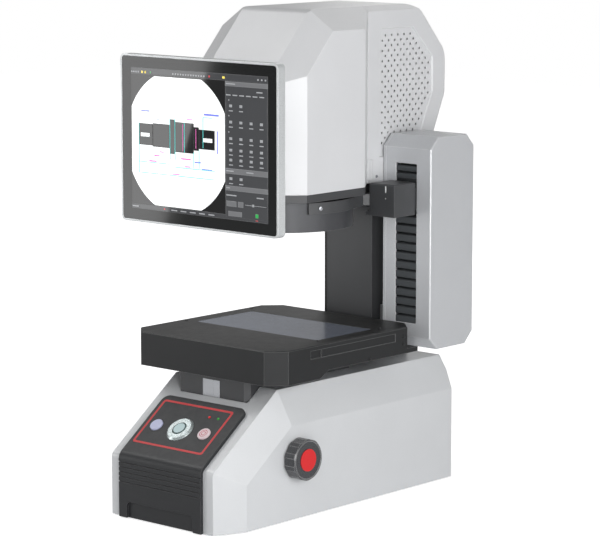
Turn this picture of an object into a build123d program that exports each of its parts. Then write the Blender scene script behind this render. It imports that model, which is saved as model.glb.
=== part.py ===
"""Bench-top vision measuring machine with a motorised stage, a lens head and a lifting ring light.

Millimetres, +Z up, the front faces -Y. The origin is where the optical axis meets the surface the machine
stands on, so places along X and Y are measured from the optical axis.
"""
from build123d import *
import os
from math import atan2, cos, degrees, pi, radians, sin, sqrt, tan

os.makedirs("parts", exist_ok=True)

# Clearances and sheet thicknesses
seat_gap = 0.3
fit_gap = 0.1
overcut = 1.0
housing_wall = 3.0
shaft_gap = 0.05

# Base housing
base_half_width = 137.0
base_front_half_width = 115.0
base_height = 218.0
base_front = -296.0
base_rear = 288.0
base_lift = 2.0
bend_height = 104.0
bend_radius = 12.0
slope_run = 153.0
corner_depth = 56.0
corner_bend_height = 78.0
shoulder_height = 159.0
rear_slope_run = 8.0
rear_slope_drop = 26.0

# Well in the base's top for the lift pillar
well_gap = 1.0
well_corner = 3.0

# Base plate and feet
plate_thick = 8.0
foot_radius = 15.0
foot_height = 10.0
foot_x = 96.0
foot_front_y = -215.0
foot_rear_y = 250.0

# Front panel over the slope and the front
panel_half_width = 93.0
panel_thick = 6.0
panel_top_along = 136.0
panel_corner_radius = 14.0
panel_window_margin = 12.0
panel_window_length = 96.0
groove_count = 5
groove_pitch = 8.2
groove_top_z = 94.5
groove_width = 2.0
groove_depth = 1.6
recess_width = 150.0
recess_height = 29.5
recess_depth = 4.5
recess_corner = 8.0

# Red outline inlay in the panel
outline_x = -7.0
outline_width = 158.0
outline_length = 98.0
outline_line = 4.0
outline_along = 76.5
outline_depth = 0.6
outline_proud = 0.2
outline_corner = 5.0

# Push buttons and status lamps
button_along = 69.5
button_x = -7.5
button_pitch = 54.0
button_radius = 11.6
button_proud = 3.0
button_length = 16.0
button_edge = 0.8
button_gap = 0.4
main_button_radius = 12.5
main_button_proud = 4.5
main_bezel_radius = 24.5
main_bezel_proud = 4.0
main_bezel_bevel = 3.0
lamp_along = 105.5
lamp_radius = 2.2
lamp_proud = 1.0
lamp_length = 7.0
red_lamp_x = 31.5
green_lamp_x = 51.0

# Focus knob on the right side
knob_y = -118.0
knob_z = 103.5
knob_radius = 34.5
knob_thick = 23.0
knob_standoff = 2.0
knob_edge = 2.0
flat_count = 10
flat_width = 13.0
flat_depth = 1.0
knob_dish_radius = 31.0
knob_dish_depth = 1.5
knob_cap_radius = 18.5
knob_cap_depth = 1.5
knob_shaft_radius = 6.0
bush_radius = 10.0
bush_flange_radius = 15.0
bush_flange = 1.5
bush_length = 14.0

# Rack and pinion between the knob and the pillar
gear_module = 1.5
gear_root = 1.25
gear_teeth = 18
gear_pressure = 20.0
gear_backlash = 0.5
gear_depth_gap = 0.4
gear_face = 12.0
gear_side_gap = 1.5
rack_thick = 14.0
rack_back = 10.0
rack_low = 36.0
rack_high = 132.0
flank_points = 5

# Lift pillar under the stage
pillar_half_width = 76.0
pillar_front = -172.0
pillar_rear = 83.0
pillar_bottom = 60.0
pillar_wall = 8.0
pillar_edge = 8.0
strip_left = -24.0
strip_right = 14.0
strip_depth = 2.0
strip_proud = 0.5
strip_bottom = 150.0
strip_top = 224.0

# Guide of the lift pillar, behind it inside the base
guide_plate_thick = 12.0
guide_plate_half_width = 70.0
guide_plate_top = 204.0
guide_rail_x = 45.0
guide_rail_width = 15.0
guide_rail_depth = 12.0
guide_block_width = 34.0
guide_block_height = 30.0
guide_block_low = 70.0
guide_block_pitch = 50.0
guide_gap = 0.5
guide_rail_gap = 5.0

# Transmitted light in the lift pillar
backlight_radius = 46.0
backlight_bottom = 150.0
backlight_height = 74.0
backlight_shelf_thick = 6.0
light_window = 100.0

# Stage cover
stage_half_width = 167.5
stage_front = -201.5
stage_rear = 155.5
stage_bottom = 236.0
stage_top = 293.0
stage_corner = 28.0
stage_edge = 1.5
stage_wall = 6.0
stage_top_plate = 10.0
skirt_step_front = -96.5
skirt_step_rear = -75.0
skirt_step_height = 12.0
flange_height = 8.0
side_channel_front = -119.0
side_channel_rear = 96.0
side_channel_low = 271.5
side_channel_height = 13.5
side_channel_depth = 1.2
side_pocket_length = 28.0
side_pocket_depth = 3.0

# Stage glass
glass_half_width = 137.0
glass_half_depth = 69.5
glass_thick = 8.0
glass_corner = 6.0
glass_gap = 0.4
glass_ledge = 6.0
glass_sink = 0.3

# Slides inside the stage
stage_base_half_width = 80.0
stage_base_front = -180.0
stage_base_rear = 85.0
stage_base_thick = 8.0
saddle_half_width = 80.0
saddle_front = -130.0
saddle_rear = 136.0
saddle_thick = 8.0
stage_travel_front = 60.0
slide_corner = 12.0
rail_end_margin = 10.0
slide_gap = 0.4
slide_height = 11.0
y_rail_x = 69.0
y_rail_width = 9.0
y_rail_height = 6.0
y_runner_width = 20.0
y_runner_length = 40.0
y_runner_front = -95.0
y_runner_rear = 55.0
x_rail_front = -90.0
x_rail_rear = 124.0
x_rail_width = 9.0
x_rail_half_length = 150.0
x_rail_height = 15.0
x_runner_x = 50.0
x_runner_length = 40.0
x_runner_width = 20.0
x_runner_height = 11.0
stage_screw_shaft = 3.5
screw_end_length = 10.0
screw_end_height = 10.0
nut_length = 20.0
nut_side = 12.0
nut_wall = 1.0
y_screw_x = 54.0
x_screw_y = -72.0
x_screw_half_length = 145.0

# Column
column_half_width = 51.0
column_front = 172.0
column_rear = 268.0
column_neck_rear = 232.0
column_top = 700.0
column_gap = 0.5
column_wall = 10.0
cove_radius = 36.0
arm_front = 84.0
arm_top = 600.0
side_cover_thick = 13.0
side_cover_margin = 6.0
side_cover_edge = 2.0

# Lens head
head_half_width = 124.0
head_front_half_width = 73.0
head_front = -129.5
head_side_rear = 66.5
head_rear = 117.0
head_bottom = 532.5
head_top = 830.0
head_corner_depth = 50.5
head_front_bend = 14.0
head_top_bend = 20.0
head_front_drop = 122.0
head_slope_end = -17.0
head_side_bend_drop = 103.0
head_side_top_drop = 33.5
band_inset = 1.0
band_rear = 100.0
band_bottom = 519.0
light_port_radius = 66.0
light_port_edge = 4.0
head_wall = 2.5

# Rear cover, narrower than the head
cover_half_width = 86.0
cover_joint = 1.0
cover_rear = 325.0
cover_bottom = 531.0
cover_wall = 2.5
cover_slope_top = 247.5
cover_slope_drop = 85.5
cover_turn_drop = 158.0
cover_foot_rear = 290.0
cover_foot_drop = 235.0
cover_leg = 150.0
cover_top_radius = 54.0
cover_mid_radius = 42.0
cover_low_radius = 34.0
joint_frame_width = 24.0
joint_frame_reach = 8.0
joint_frame_gap = 0.8

# Vent panels in the rear cover's sides
vent_front = 150.0
vent_bottom = 574.0
vent_top_drop = 40.0
vent_corner = 5.0
vent_slope_top = 237.0
vent_rear = 290.0
vent_turn_drop = 154.0
vent_rear_foot = 241.5
vent_bevel = 1.5
vent_sheet = 1.2
vent_overlap = 6.0

# Lens and camera inside the head
lens_flange_radius = 80.0
lens_glass_radius = 52.0
lens_glass_thick = 5.0
lens_recess = 6.0
lens_flange_thick = 8.0
lens_radius = 58.0
lens_shoulder_drop = 170.0
lens_neck_radius = 34.0
lens_top_drop = 118.0
camera_size = 62.0
camera_height = 76.0
camera_corner = 4.0

# Side housing of the ring light's lift
box_left = 87.0
box_right = 190.5
box_front = 159.0
box_rear = 276.0
box_bottom = 250.0
box_top = 612.5
box_chamfer = 20.0
box_wall = 3.0
box_edge = 1.5
slot_left = 114.5
slot_right = 160.0
slot_bottom = 293.0
slot_top = 566.0
slot_corner = 2.0
mount_plate_thick = 6.0
spacer_height = 40.0
spacer_depth = 50.0
spacer_low = 290.0
spacer_high = 505.0

# Carriage of the ring light
block_left = 104.0
block_right = 158.0
block_front = 102.0
block_bottom = 480.0
block_top = 535.5
block_edge = 2.0
block_standoff = 1.0
neck_side_gap = 2.0
neck_rear = 250.0
neck_height = 36.0
carriage_flange_thick = 7.0
carriage_flange_left = 96.0
lift_rail_y = 196.0
lift_rail_width = 15.0
lift_rail_depth = 10.0
runner_block_height = 60.0
ring_screw_y = 230.0
ring_screw_radius = 6.0
ring_motor_size = 42.0
ring_motor_height = 34.0
bearing_half = 14.0
bearing_height = 12.0
runner_side = 9.0

# Bellows above and below the carriage
bellows_pitch = 15.2
bellows_depth = 6.0
bellows_sink = 1.0
bellows_sheet = 1.6
bellows_side_gap = 0.8
fold_start = 0.14
fold_end = 0.74
fold_back = 0.88

# Ring light and its clamp
ring_radius = 118.0
ring_bore = 76.0
ring_bottom = 467.0
ring_top = 516.0
ring_wall = 3.0
diffuser_thick = 3.0
diffuser_sink = 1.0
clamp_thick = 5.0
clamp_bottom = 497.0
clamp_start = -28.0
clamp_end = 118.0
clamp_arm_half_angle = 24.5
arm_corner = 7.5
arm_rear = 130.0

# Monitor
monitor_half_width = 176.0
monitor_height = 278.0
monitor_bottom = 479.0
monitor_front = -207.0
monitor_thick = 19.0
monitor_corner = 9.0
monitor_edge = 2.5
monitor_rim = 3.5
screen_thick = 3.0
hinge_y = -158.0
hinge_pin_radius = 5.0
hinge_barrel_radius = 11.0
hinge_width = 50.0
hinge_ear = 12.0
hinge_plate_size = 90.0
hinge_plate_thick = 6.0

# Electronics in the base
electronics_side_gap = 9.0
electronics_y = 190.0
electronics_width = 60.0
electronics_depth = 130.0
electronics_height = 45.0
inlet_side = 42.0
inlet_corner = 2.0
inlet_z = 50.0
switch_z = 98.0
inlet_width = 28.0
inlet_height = 24.0
inlet_flange = 8.0
inlet_flange_thick = 2.0
inlet_depth = 22.0

# Worked out from the sizes above
slope_rise = base_height - bend_height
slope_angle = degrees(atan2(slope_rise, slope_run))
slope_cos = cos(radians(slope_angle))
slope_sin = sin(radians(slope_angle))
panel_base_plane = Plane(
    origin=(0, base_front, bend_height), x_dir=(1, 0, 0), z_dir=(0, -slope_sin, slope_cos)
)
panel_plane = panel_base_plane.offset(panel_thick)
well_front = pillar_front - well_gap
well_rear = pillar_rear + well_gap
well_half_width = pillar_half_width + well_gap
monitor_middle = monitor_bottom + monitor_height / 2
monitor_rear = monitor_front + monitor_thick
head_front_top = head_top - head_front_drop
head_side_bend = head_top - head_side_bend_drop
head_side_top = head_top - head_side_top_drop
cover_top = head_top
cover_front = head_rear + cover_joint
cover_slope_low = cover_top - cover_slope_drop
cover_turn_height = cover_top - cover_turn_drop
cover_foot_height = cover_top - cover_foot_drop
lens_shoulder = head_top - lens_shoulder_drop
lens_top = head_top - lens_top_drop
electronics_x = base_half_width - housing_wall - electronics_side_gap - electronics_width / 2
inlet_x = base_half_width - inlet_side


def side_plane(start, along, across, side):
    """Plane through start that holds both directions, for the right (side 1) or the left (side -1)."""
    here, a, b = (Vector(v[0] * side, v[1], v[2]) for v in (start, along, across))
    return Plane(origin=here, x_dir=a, z_dir=a.cross(b) * side)


def toward(a, b):
    """Direction from point a to point b."""
    return (b[0] - a[0], b[1] - a[1], b[2] - a[2])


# Base housing
front_corner = (base_front_half_width, base_front, bend_height)
side_corner = (base_half_width, base_front + corner_depth, corner_bend_height)
side_corner_level = (base_half_width, base_front + corner_depth, bend_height)
shoulder_edge = (base_front_half_width, 0, base_height)
shoulder_foot = (base_half_width, 0, shoulder_height)

with BuildPart() as base_housing:
    with BuildSketch(Plane.YZ):
        with BuildLine():
            Polyline(
                (base_front, base_lift),
                (base_front, bend_height),
                (base_front + slope_run, base_height),
                (base_rear - rear_slope_run, base_height),
                (base_rear, base_height - rear_slope_drop),
                (base_rear, base_lift),
                close=True,
            )
        make_face()
        fillet(vertices().sort_by_distance((base_front, bend_height))[0], bend_radius)
    extrude(amount=base_half_width, both=True)
    for side in (1, -1):
        corner_cut = side_plane(front_corner, toward(front_corner, side_corner_level), (0, 0, 1), side)
        split(bisect_by=corner_cut, keep=Keep.BOTTOM)
        shoulder_cut = side_plane(shoulder_edge, (0, 1, 0), toward(shoulder_foot, shoulder_edge), side)
        split(bisect_by=shoulder_cut, keep=Keep.BOTTOM)
        corner_edge = toward(side_corner, front_corner)
        slope_cut = side_plane(front_corner, (0, slope_run, slope_rise), corner_edge, side)
        split(bisect_by=slope_cut, keep=Keep.BOTTOM)
    offset(amount=-housing_wall, openings=faces().sort_by(Axis.Z)[0], kind=Kind.INTERSECTION)
    # Well for the pillar
    with BuildSketch(Plane.XY.offset(base_height + overcut)):
        with Locations((0, (well_front + well_rear) / 2)):
            RectangleRounded(2 * well_half_width, well_rear - well_front, well_corner)
    extrude(amount=-slope_rise, mode=Mode.SUBTRACT)
    # Way through for the column
    with BuildSketch(Plane.XY.offset(base_height + overcut)):
        with Locations((0, (column_front + column_rear) / 2)):
            Rectangle(2 * (column_half_width + column_gap), column_rear - column_front + 2 * column_gap)
    extrude(amount=-(housing_wall + rear_slope_drop), mode=Mode.SUBTRACT)
    # Window behind the front panel's buttons
    with BuildSketch(panel_base_plane):
        with Locations((0, button_along)):
            Rectangle(2 * (panel_half_width - panel_window_margin), panel_window_length)
    extrude(amount=-2 * housing_wall, mode=Mode.SUBTRACT)
    # Holes for the power inlet and the switch
    with BuildSketch(Plane.XZ.offset(-base_rear)):
        with Locations((-inlet_x, inlet_z), (-inlet_x, switch_z)):
            Rectangle(inlet_width, inlet_height)
    extrude(amount=2 * housing_wall, mode=Mode.SUBTRACT)
    # Hole for the knob's bush
    with BuildSketch(Plane.YZ.offset(base_half_width + overcut)):
        with Locations((knob_y, knob_z)):
            Circle(bush_radius)
    extrude(amount=-(housing_wall + 2 * overcut), mode=Mode.SUBTRACT)
base_housing.part.label = "base_housing"
export_step(base_housing.part, "parts/base_housing.step")

# Base plate, inside the housing's bottom edge
plate_inset = housing_wall + seat_gap
with BuildPart() as base_plate:
    with BuildSketch(Plane.XY.offset(foot_height)):
        with BuildLine():
            plate_side = base_half_width - plate_inset
            plate_nose = base_front_half_width - plate_inset
            Polyline(
                (-plate_nose, base_front + plate_inset),
                (plate_nose, base_front + plate_inset),
                (plate_side, base_front + corner_depth + plate_inset),
                (plate_side, base_rear - plate_inset),
                (-plate_side, base_rear - plate_inset),
                (-plate_side, base_front + corner_depth + plate_inset),
                close=True,
            )
        make_face()
    extrude(amount=plate_thick)
base_plate.part.label = "base_plate"
export_step(base_plate.part, "parts/base_plate.step")
plate_top = foot_height + plate_thick

# Feet
with BuildPart() as levelling_feet:
    with BuildSketch(Plane.XY):
        for y in (foot_front_y, foot_rear_y):
            with Locations((-foot_x, y), (foot_x, y)):
                Circle(foot_radius)
    extrude(amount=foot_height)
levelling_feet.part.label = "levelling_feet"
export_step(levelling_feet.part, "parts/levelling_feet.step")

# Front panel, bent over the front and the slope
outer_bend_z = (
    bend_height + panel_thick * slope_cos - panel_thick * (1 - slope_sin) * tan(radians(slope_angle))
)
panel_top_y = base_front + panel_top_along * slope_cos
panel_top_z = bend_height + panel_top_along * slope_sin

with BuildPart() as front_panel:
    with BuildSketch(Plane.YZ):
        with BuildLine():
            Polyline(
                (base_front, base_lift),
                (base_front - panel_thick, base_lift),
                (base_front - panel_thick, outer_bend_z),
                (panel_top_y - panel_thick * slope_sin, panel_top_z + panel_thick * slope_cos),
                (panel_top_y, panel_top_z),
                (base_front, bend_height),
                close=True,
            )
        make_face()
    extrude(amount=panel_half_width, both=True)
    bend_edge = edges().filter_by(Axis.X).sort_by_distance((0, base_front - panel_thick, outer_bend_z))[0]
    fillet(bend_edge, bend_radius + panel_thick)
    inner_bend_edge = edges().filter_by(Axis.X).sort_by_distance((0, base_front, bend_height))[0]
    fillet(inner_bend_edge, bend_radius)
    top_corners = edges().filter_by(Axis((0, 0, 0), panel_base_plane.z_dir))
    fillet(top_corners.sort_by(Axis.Z)[-2:], panel_corner_radius)
    # Horizontal grooves
    with BuildSketch(Plane.YZ):
        for index in range(groove_count):
            with Locations((base_front - panel_thick, groove_top_z - index * groove_pitch)):
                Rectangle(2 * groove_depth, groove_width)
    extrude(amount=panel_half_width, both=True, mode=Mode.SUBTRACT)
    # Finger recess at the foot
    with BuildSketch(Plane.XZ.offset(-(base_front - panel_thick))):
        with Locations((0, recess_height / 2)):
            recess_face = Rectangle(recess_width, recess_height)
        fillet(recess_face.vertices().group_by(Axis.Y)[-1], recess_corner)
    extrude(amount=-recess_depth, mode=Mode.SUBTRACT)
    # Holes for the buttons and lamps, and the seat of the outline
    with BuildSketch(panel_plane):
        button_row = ((-button_pitch, button_radius), (0, main_button_radius), (button_pitch, button_radius))
        for x, radius in button_row:
            with Locations((button_x + x, button_along)):
                Circle(radius + button_gap)
        with Locations((red_lamp_x, lamp_along), (green_lamp_x, lamp_along)):
            Circle(lamp_radius)
    extrude(amount=-panel_thick, mode=Mode.SUBTRACT)
    with BuildSketch(panel_plane):
        with Locations((outline_x, outline_along)):
            RectangleRounded(outline_width, outline_length, outline_corner)
            RectangleRounded(
                outline_width - 2 * outline_line,
                outline_length - 2 * outline_line,
                outline_corner - outline_line / 2,
                mode=Mode.SUBTRACT,
            )
    extrude(amount=-outline_depth, mode=Mode.SUBTRACT)
front_panel.part.label = "front_panel"
export_step(front_panel.part, "parts/front_panel.step")

# Red outline inlay
with BuildPart() as panel_outline:
    with BuildSketch(panel_plane.offset(-outline_depth)):
        with Locations((outline_x, outline_along)):
            RectangleRounded(outline_width, outline_length, outline_corner)
            RectangleRounded(
                outline_width - 2 * outline_line,
                outline_length - 2 * outline_line,
                outline_corner - outline_line / 2,
                mode=Mode.SUBTRACT,
            )
    extrude(amount=outline_depth + outline_proud)
panel_outline.part.label = "panel_outline"
export_step(panel_outline.part, "parts/panel_outline.step")

# Side buttons
side_button_places = ((button_x - button_pitch, button_along), (button_x + button_pitch, button_along))
for name, place in zip(("left_button", "right_button"), side_button_places):
    with BuildPart() as button:
        with BuildSketch(panel_plane.offset(button_proud - button_length)):
            with Locations(place):
                Circle(button_radius)
        extrude(amount=button_length)
        chamfer(edges().sort_by(panel_plane.location.z_axis)[-1], button_edge)
    button.part.label = name
    export_step(button.part, f"parts/{name}.step")

# Main button in the middle with its wide bevelled ring
with BuildPart() as measure_button:
    with BuildSketch(panel_plane.offset(main_button_proud - button_length)):
        with Locations((button_x, button_along)):
            Circle(main_button_radius)
    extrude(amount=button_length)
    chamfer(edges().sort_by(panel_plane.location.z_axis)[-1], button_edge)
measure_button.part.label = "measure_button"
export_step(measure_button.part, "parts/measure_button.step")

with BuildPart() as measure_button_bezel:
    with BuildSketch(panel_plane):
        with Locations((button_x, button_along)):
            Circle(main_bezel_radius)
    extrude(amount=main_bezel_proud)
    top_rim = faces().sort_by(panel_plane.location.z_axis)[-1].edges()
    chamfer(top_rim, main_bezel_bevel, main_bezel_bevel)
    with BuildSketch(panel_plane):
        with Locations((button_x, button_along)):
            Circle(main_button_radius + button_gap)
    extrude(amount=main_bezel_proud, mode=Mode.SUBTRACT)
measure_button_bezel.part.label = "measure_button_bezel"
export_step(measure_button_bezel.part, "parts/measure_button_bezel.step")

# Status lamps
for name, x in (("red_lamp", red_lamp_x), ("green_lamp", green_lamp_x)):
    with BuildPart() as lamp:
        with BuildSketch(panel_plane.offset(lamp_proud - lamp_length)):
            with Locations((x, lamp_along)):
                Circle(lamp_radius)
        extrude(amount=lamp_length)
    lamp.part.label = name
    export_step(lamp.part, f"parts/{name}.step")

# Knob shaft, bush, knob and cap
knob_inner_x = base_half_width + knob_standoff
knob_axis_plane = Plane(origin=(knob_inner_x, knob_y, knob_z), x_dir=(0, 1, 0), z_dir=(1, 0, 0))
gear_radius = gear_module * gear_teeth / 2
gear_left = pillar_half_width + gear_side_gap


def gear_outline(teeth, module, pressure, backlash):
    """Corner points of an involute gear around its centre, each flank as a few straight lines."""
    pitch = module * teeth / 2
    base = pitch * cos(radians(pressure))
    tip = pitch + module
    root = pitch - gear_root * module
    start = max(base, root)
    half_tooth = (module * pi / 2 - backlash / 2) / 2 / pitch
    roll = sqrt((pitch / base) ** 2 - 1)
    half_at_base = half_tooth + roll - atan2(roll, 1)
    flank = []
    for step in range(flank_points):
        radius = start + (tip - start) * step / (flank_points - 1)
        turn = sqrt(max((radius / base) ** 2 - 1, 0))
        flank.append((radius, half_at_base - (turn - atan2(turn, 1))))
    points = []
    for tooth in range(teeth):
        middle = 2 * pi * (tooth + 0.5) / teeth
        left = [(root, half_at_base)] + flank
        for radius, half in left:
            points.append((radius * cos(middle - half), radius * sin(middle - half)))
        for radius, half in reversed(left):
            points.append((radius * cos(middle + half), radius * sin(middle + half)))
    return points


with BuildPart() as pinion_shaft:
    with BuildSketch(knob_axis_plane.offset(gear_left - knob_inner_x)):
        Circle(knob_shaft_radius)
    extrude(amount=knob_inner_x - gear_left + knob_thick / 2)
    with BuildSketch(knob_axis_plane.offset(gear_left - knob_inner_x)):
        with BuildLine():
            Polyline(*gear_outline(gear_teeth, gear_module, gear_pressure, gear_backlash), close=True)
        make_face()
    extrude(amount=gear_face)
pinion_shaft.part.label = "pinion_shaft"
export_step(pinion_shaft.part, "parts/pinion_shaft.step")

with BuildPart() as knob_bush:
    with BuildSketch(knob_axis_plane.offset(-knob_standoff - bush_length)):
        Circle(bush_radius)
    extrude(amount=bush_length)
    with BuildSketch(knob_axis_plane.offset(-knob_standoff)):
        Circle(bush_flange_radius)
    extrude(amount=bush_flange)
    with BuildSketch(knob_axis_plane.offset(-knob_standoff - bush_length)):
        Circle(knob_shaft_radius + shaft_gap)
    extrude(amount=bush_length + bush_flange, mode=Mode.SUBTRACT)
knob_bush.part.label = "knob_bush"
export_step(knob_bush.part, "parts/knob_bush.step")

with BuildPart() as focus_knob:
    with BuildSketch(knob_axis_plane):
        Circle(knob_radius)
    extrude(amount=knob_thick)
    chamfer(edges().group_by(Axis.X)[-1], knob_edge)
    with BuildSketch(knob_axis_plane):
        with PolarLocations(knob_radius - flat_depth + flat_width / 2, flat_count):
            Rectangle(flat_width, flat_width)
    extrude(amount=knob_thick, mode=Mode.SUBTRACT)
    # Dish in the face, with the seat of the cap on a boss in its middle
    with BuildSketch(knob_axis_plane.offset(knob_thick)):
        Circle(knob_dish_radius)
        Circle(knob_cap_radius + fit_gap, mode=Mode.SUBTRACT)
    extrude(amount=-knob_dish_depth, mode=Mode.SUBTRACT)
    with BuildSketch(knob_axis_plane.offset(knob_thick)):
        Circle(knob_cap_radius + fit_gap)
    extrude(amount=-knob_cap_depth, mode=Mode.SUBTRACT)
    with BuildSketch(knob_axis_plane):
        Circle(knob_shaft_radius + fit_gap)
    extrude(amount=knob_thick / 2, mode=Mode.SUBTRACT)
focus_knob.part.label = "focus_knob"
export_step(focus_knob.part, "parts/focus_knob.step")

with BuildPart() as knob_cap:
    with BuildSketch(knob_axis_plane.offset(knob_thick - knob_cap_depth)):
        Circle(knob_cap_radius)
    extrude(amount=knob_cap_depth)
knob_cap.part.label = "knob_cap"
export_step(knob_cap.part, "parts/knob_cap.step")

# Lift pillar
with BuildPart() as lift_pillar:
    with BuildSketch(Plane.XY.offset(pillar_bottom)):
        with Locations((0, (pillar_front + pillar_rear) / 2)):
            Rectangle(2 * pillar_half_width, pillar_rear - pillar_front)
    extrude(amount=stage_bottom - pillar_bottom)
    chamfer(edges().filter_by(Axis.Z).group_by(Axis.Y)[0].sort_by(Axis.X)[-1], pillar_edge)
    with BuildSketch(Plane.XY.offset(pillar_bottom)):
        with Locations((0, (pillar_front + pillar_rear) / 2)):
            Rectangle(
                2 * (pillar_half_width - pillar_wall), pillar_rear - pillar_front - 2 * pillar_wall
            )
    extrude(amount=stage_bottom - pillar_bottom - pillar_wall, mode=Mode.SUBTRACT)
    # Shelf that carries the transmitted light
    with BuildSketch(Plane.XY.offset(backlight_bottom - backlight_shelf_thick)):
        with Locations((0, (pillar_front + pillar_rear) / 2)):
            Rectangle(
                2 * (pillar_half_width - pillar_wall), pillar_rear - pillar_front - 2 * pillar_wall
            )
    extrude(amount=backlight_shelf_thick)
    with BuildSketch(Plane.XY.offset(stage_bottom)):
        Rectangle(light_window, light_window)
    extrude(amount=-pillar_wall, mode=Mode.SUBTRACT)
    # Seat of the metal strip on the front
    with BuildSketch(Plane.XZ.offset(-pillar_front)):
        with Locations(((strip_left + strip_right) / 2, (strip_bottom + strip_top) / 2)):
            Rectangle(strip_right - strip_left, strip_top - strip_bottom)
    extrude(amount=-strip_depth, mode=Mode.SUBTRACT)
lift_pillar.part.label = "lift_pillar"
export_step(lift_pillar.part, "parts/lift_pillar.step")

with BuildPart() as guide_strip:
    with BuildSketch(Plane.XZ.offset(-pillar_front - strip_depth)):
        with Locations(((strip_left + strip_right) / 2, (strip_bottom + strip_top) / 2)):
            Rectangle(strip_right - strip_left, strip_top - strip_bottom)
    extrude(amount=strip_depth + strip_proud)
guide_strip.part.label = "guide_strip"
export_step(guide_strip.part, "parts/guide_strip.step")

# Rack on the pillar's right side, meshing with the knob's pinion
rack_pitch_y = knob_y + gear_radius + gear_depth_gap
tooth_pitch = gear_module * pi
tooth_lean = gear_module * tan(radians(gear_pressure))
root_lean = gear_root * tooth_lean
tooth_half = (tooth_pitch / 2 - gear_backlash / 2) / 2
teeth_below = int((knob_z - rack_low) / tooth_pitch - 0.5)
teeth_above = int((rack_high - knob_z) / tooth_pitch - 0.5)
with BuildPart() as lift_rack:
    with BuildSketch(Plane.YZ.offset(pillar_half_width)):
        with Locations((rack_pitch_y + gear_root * gear_module + rack_back / 2, (rack_low + rack_high) / 2)):
            Rectangle(rack_back, rack_high - rack_low)
        for index in range(-teeth_below, teeth_above + 1):
            middle = knob_z + index * tooth_pitch
            with BuildLine():
                Polyline(
                    (rack_pitch_y + gear_root * gear_module, middle - tooth_half - root_lean),
                    (rack_pitch_y - gear_module, middle - tooth_half + tooth_lean),
                    (rack_pitch_y - gear_module, middle + tooth_half - tooth_lean),
                    (rack_pitch_y + gear_root * gear_module, middle + tooth_half + root_lean),
                    close=True,
                )
            make_face()
    extrude(amount=rack_thick)
lift_rack.part.label = "lift_rack"
export_step(lift_rack.part, "parts/lift_rack.step")

# Upright guide behind the pillar with two rails, and the pillar's guide blocks
rail_front = pillar_rear + guide_rail_gap
guide_plate_front = rail_front + guide_rail_depth
rail_middle = rail_front + guide_rail_depth / 2
with BuildPart() as lift_guide:
    with BuildSketch(Plane.XY.offset(plate_top)):
        with Locations((0, guide_plate_front + guide_plate_thick / 2)):
            Rectangle(2 * guide_plate_half_width, guide_plate_thick)
        with Locations((-guide_rail_x, rail_middle), (guide_rail_x, rail_middle)):
            Rectangle(guide_rail_width, guide_rail_depth)
    extrude(amount=guide_plate_top - plate_top)
lift_guide.part.label = "lift_guide"
export_step(lift_guide.part, "parts/lift_guide.step")

with BuildPart() as lift_guide_blocks:
    for level in (guide_block_low, guide_block_low + guide_block_pitch):
        with BuildSketch(Plane.XY.offset(level)):
            block_rear = guide_plate_front - guide_gap
            for x in (-guide_rail_x, guide_rail_x):
                with Locations((x, (pillar_rear + block_rear) / 2)):
                    Rectangle(guide_block_width, block_rear - pillar_rear)
                with Locations((x, rail_middle)):
                    Rectangle(
                        guide_rail_width + 2 * guide_gap, guide_rail_depth + 2 * guide_gap, mode=Mode.SUBTRACT
                    )
        extrude(amount=guide_block_height)
lift_guide_blocks.part.label = "lift_guide_blocks"
export_step(lift_guide_blocks.part, "parts/lift_guide_blocks.step")

# Transmitted light on the shelf in the pillar
with BuildPart() as backlight_lens:
    with BuildSketch(Plane.XY.offset(backlight_bottom)):
        Circle(backlight_radius)
    extrude(amount=backlight_height)
backlight_lens.part.label = "backlight_lens"
export_step(backlight_lens.part, "parts/backlight_lens.step")

# Stage base on the pillar, with the rails and the screw of the Y slide
stage_base_top = stage_bottom + stage_base_thick
saddle_bottom = stage_base_top + slide_height
saddle_top = saddle_bottom + saddle_thick
table_ceiling = stage_top - stage_top_plate
stage_base_middle = (stage_base_front + stage_base_rear) / 2
with BuildPart() as stage_base:
    with BuildSketch(Plane.XY.offset(stage_bottom)):
        with Locations((0, stage_base_middle)):
            plan = Rectangle(2 * stage_base_half_width, stage_base_rear - stage_base_front)
        chamfer(plan.vertices(), slide_corner)
        Rectangle(light_window, light_window, mode=Mode.SUBTRACT)
    extrude(amount=stage_base_thick)
stage_base.part.label = "stage_base"
export_step(stage_base.part, "parts/stage_base.step")

with BuildPart() as y_rails:
    with BuildSketch(Plane.XY.offset(stage_base_top)):
        with Locations((-y_rail_x, stage_base_middle), (y_rail_x, stage_base_middle)):
            Rectangle(y_rail_width, stage_base_rear - stage_base_front - 2 * rail_end_margin)
    extrude(amount=y_rail_height)
y_rails.part.label = "y_rails"
export_step(y_rails.part, "parts/y_rails.step")

y_screw_z = stage_base_top + screw_end_height / 2
with BuildPart() as y_screw:
    with BuildSketch(Plane.XZ.offset(-stage_base_front)):
        with Locations((y_screw_x, y_screw_z)):
            Circle(stage_screw_shaft)
    extrude(amount=-(stage_base_rear - stage_base_front))
    for y in (stage_base_front, stage_base_rear - screw_end_length):
        with BuildSketch(Plane.XZ.offset(-y)):
            with Locations((y_screw_x, y_screw_z)):
                Rectangle(2 * stage_screw_shaft, screw_end_height)
        extrude(amount=-screw_end_length)
y_screw.part.label = "y_screw"
export_step(y_screw.part, "parts/y_screw.step")

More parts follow.
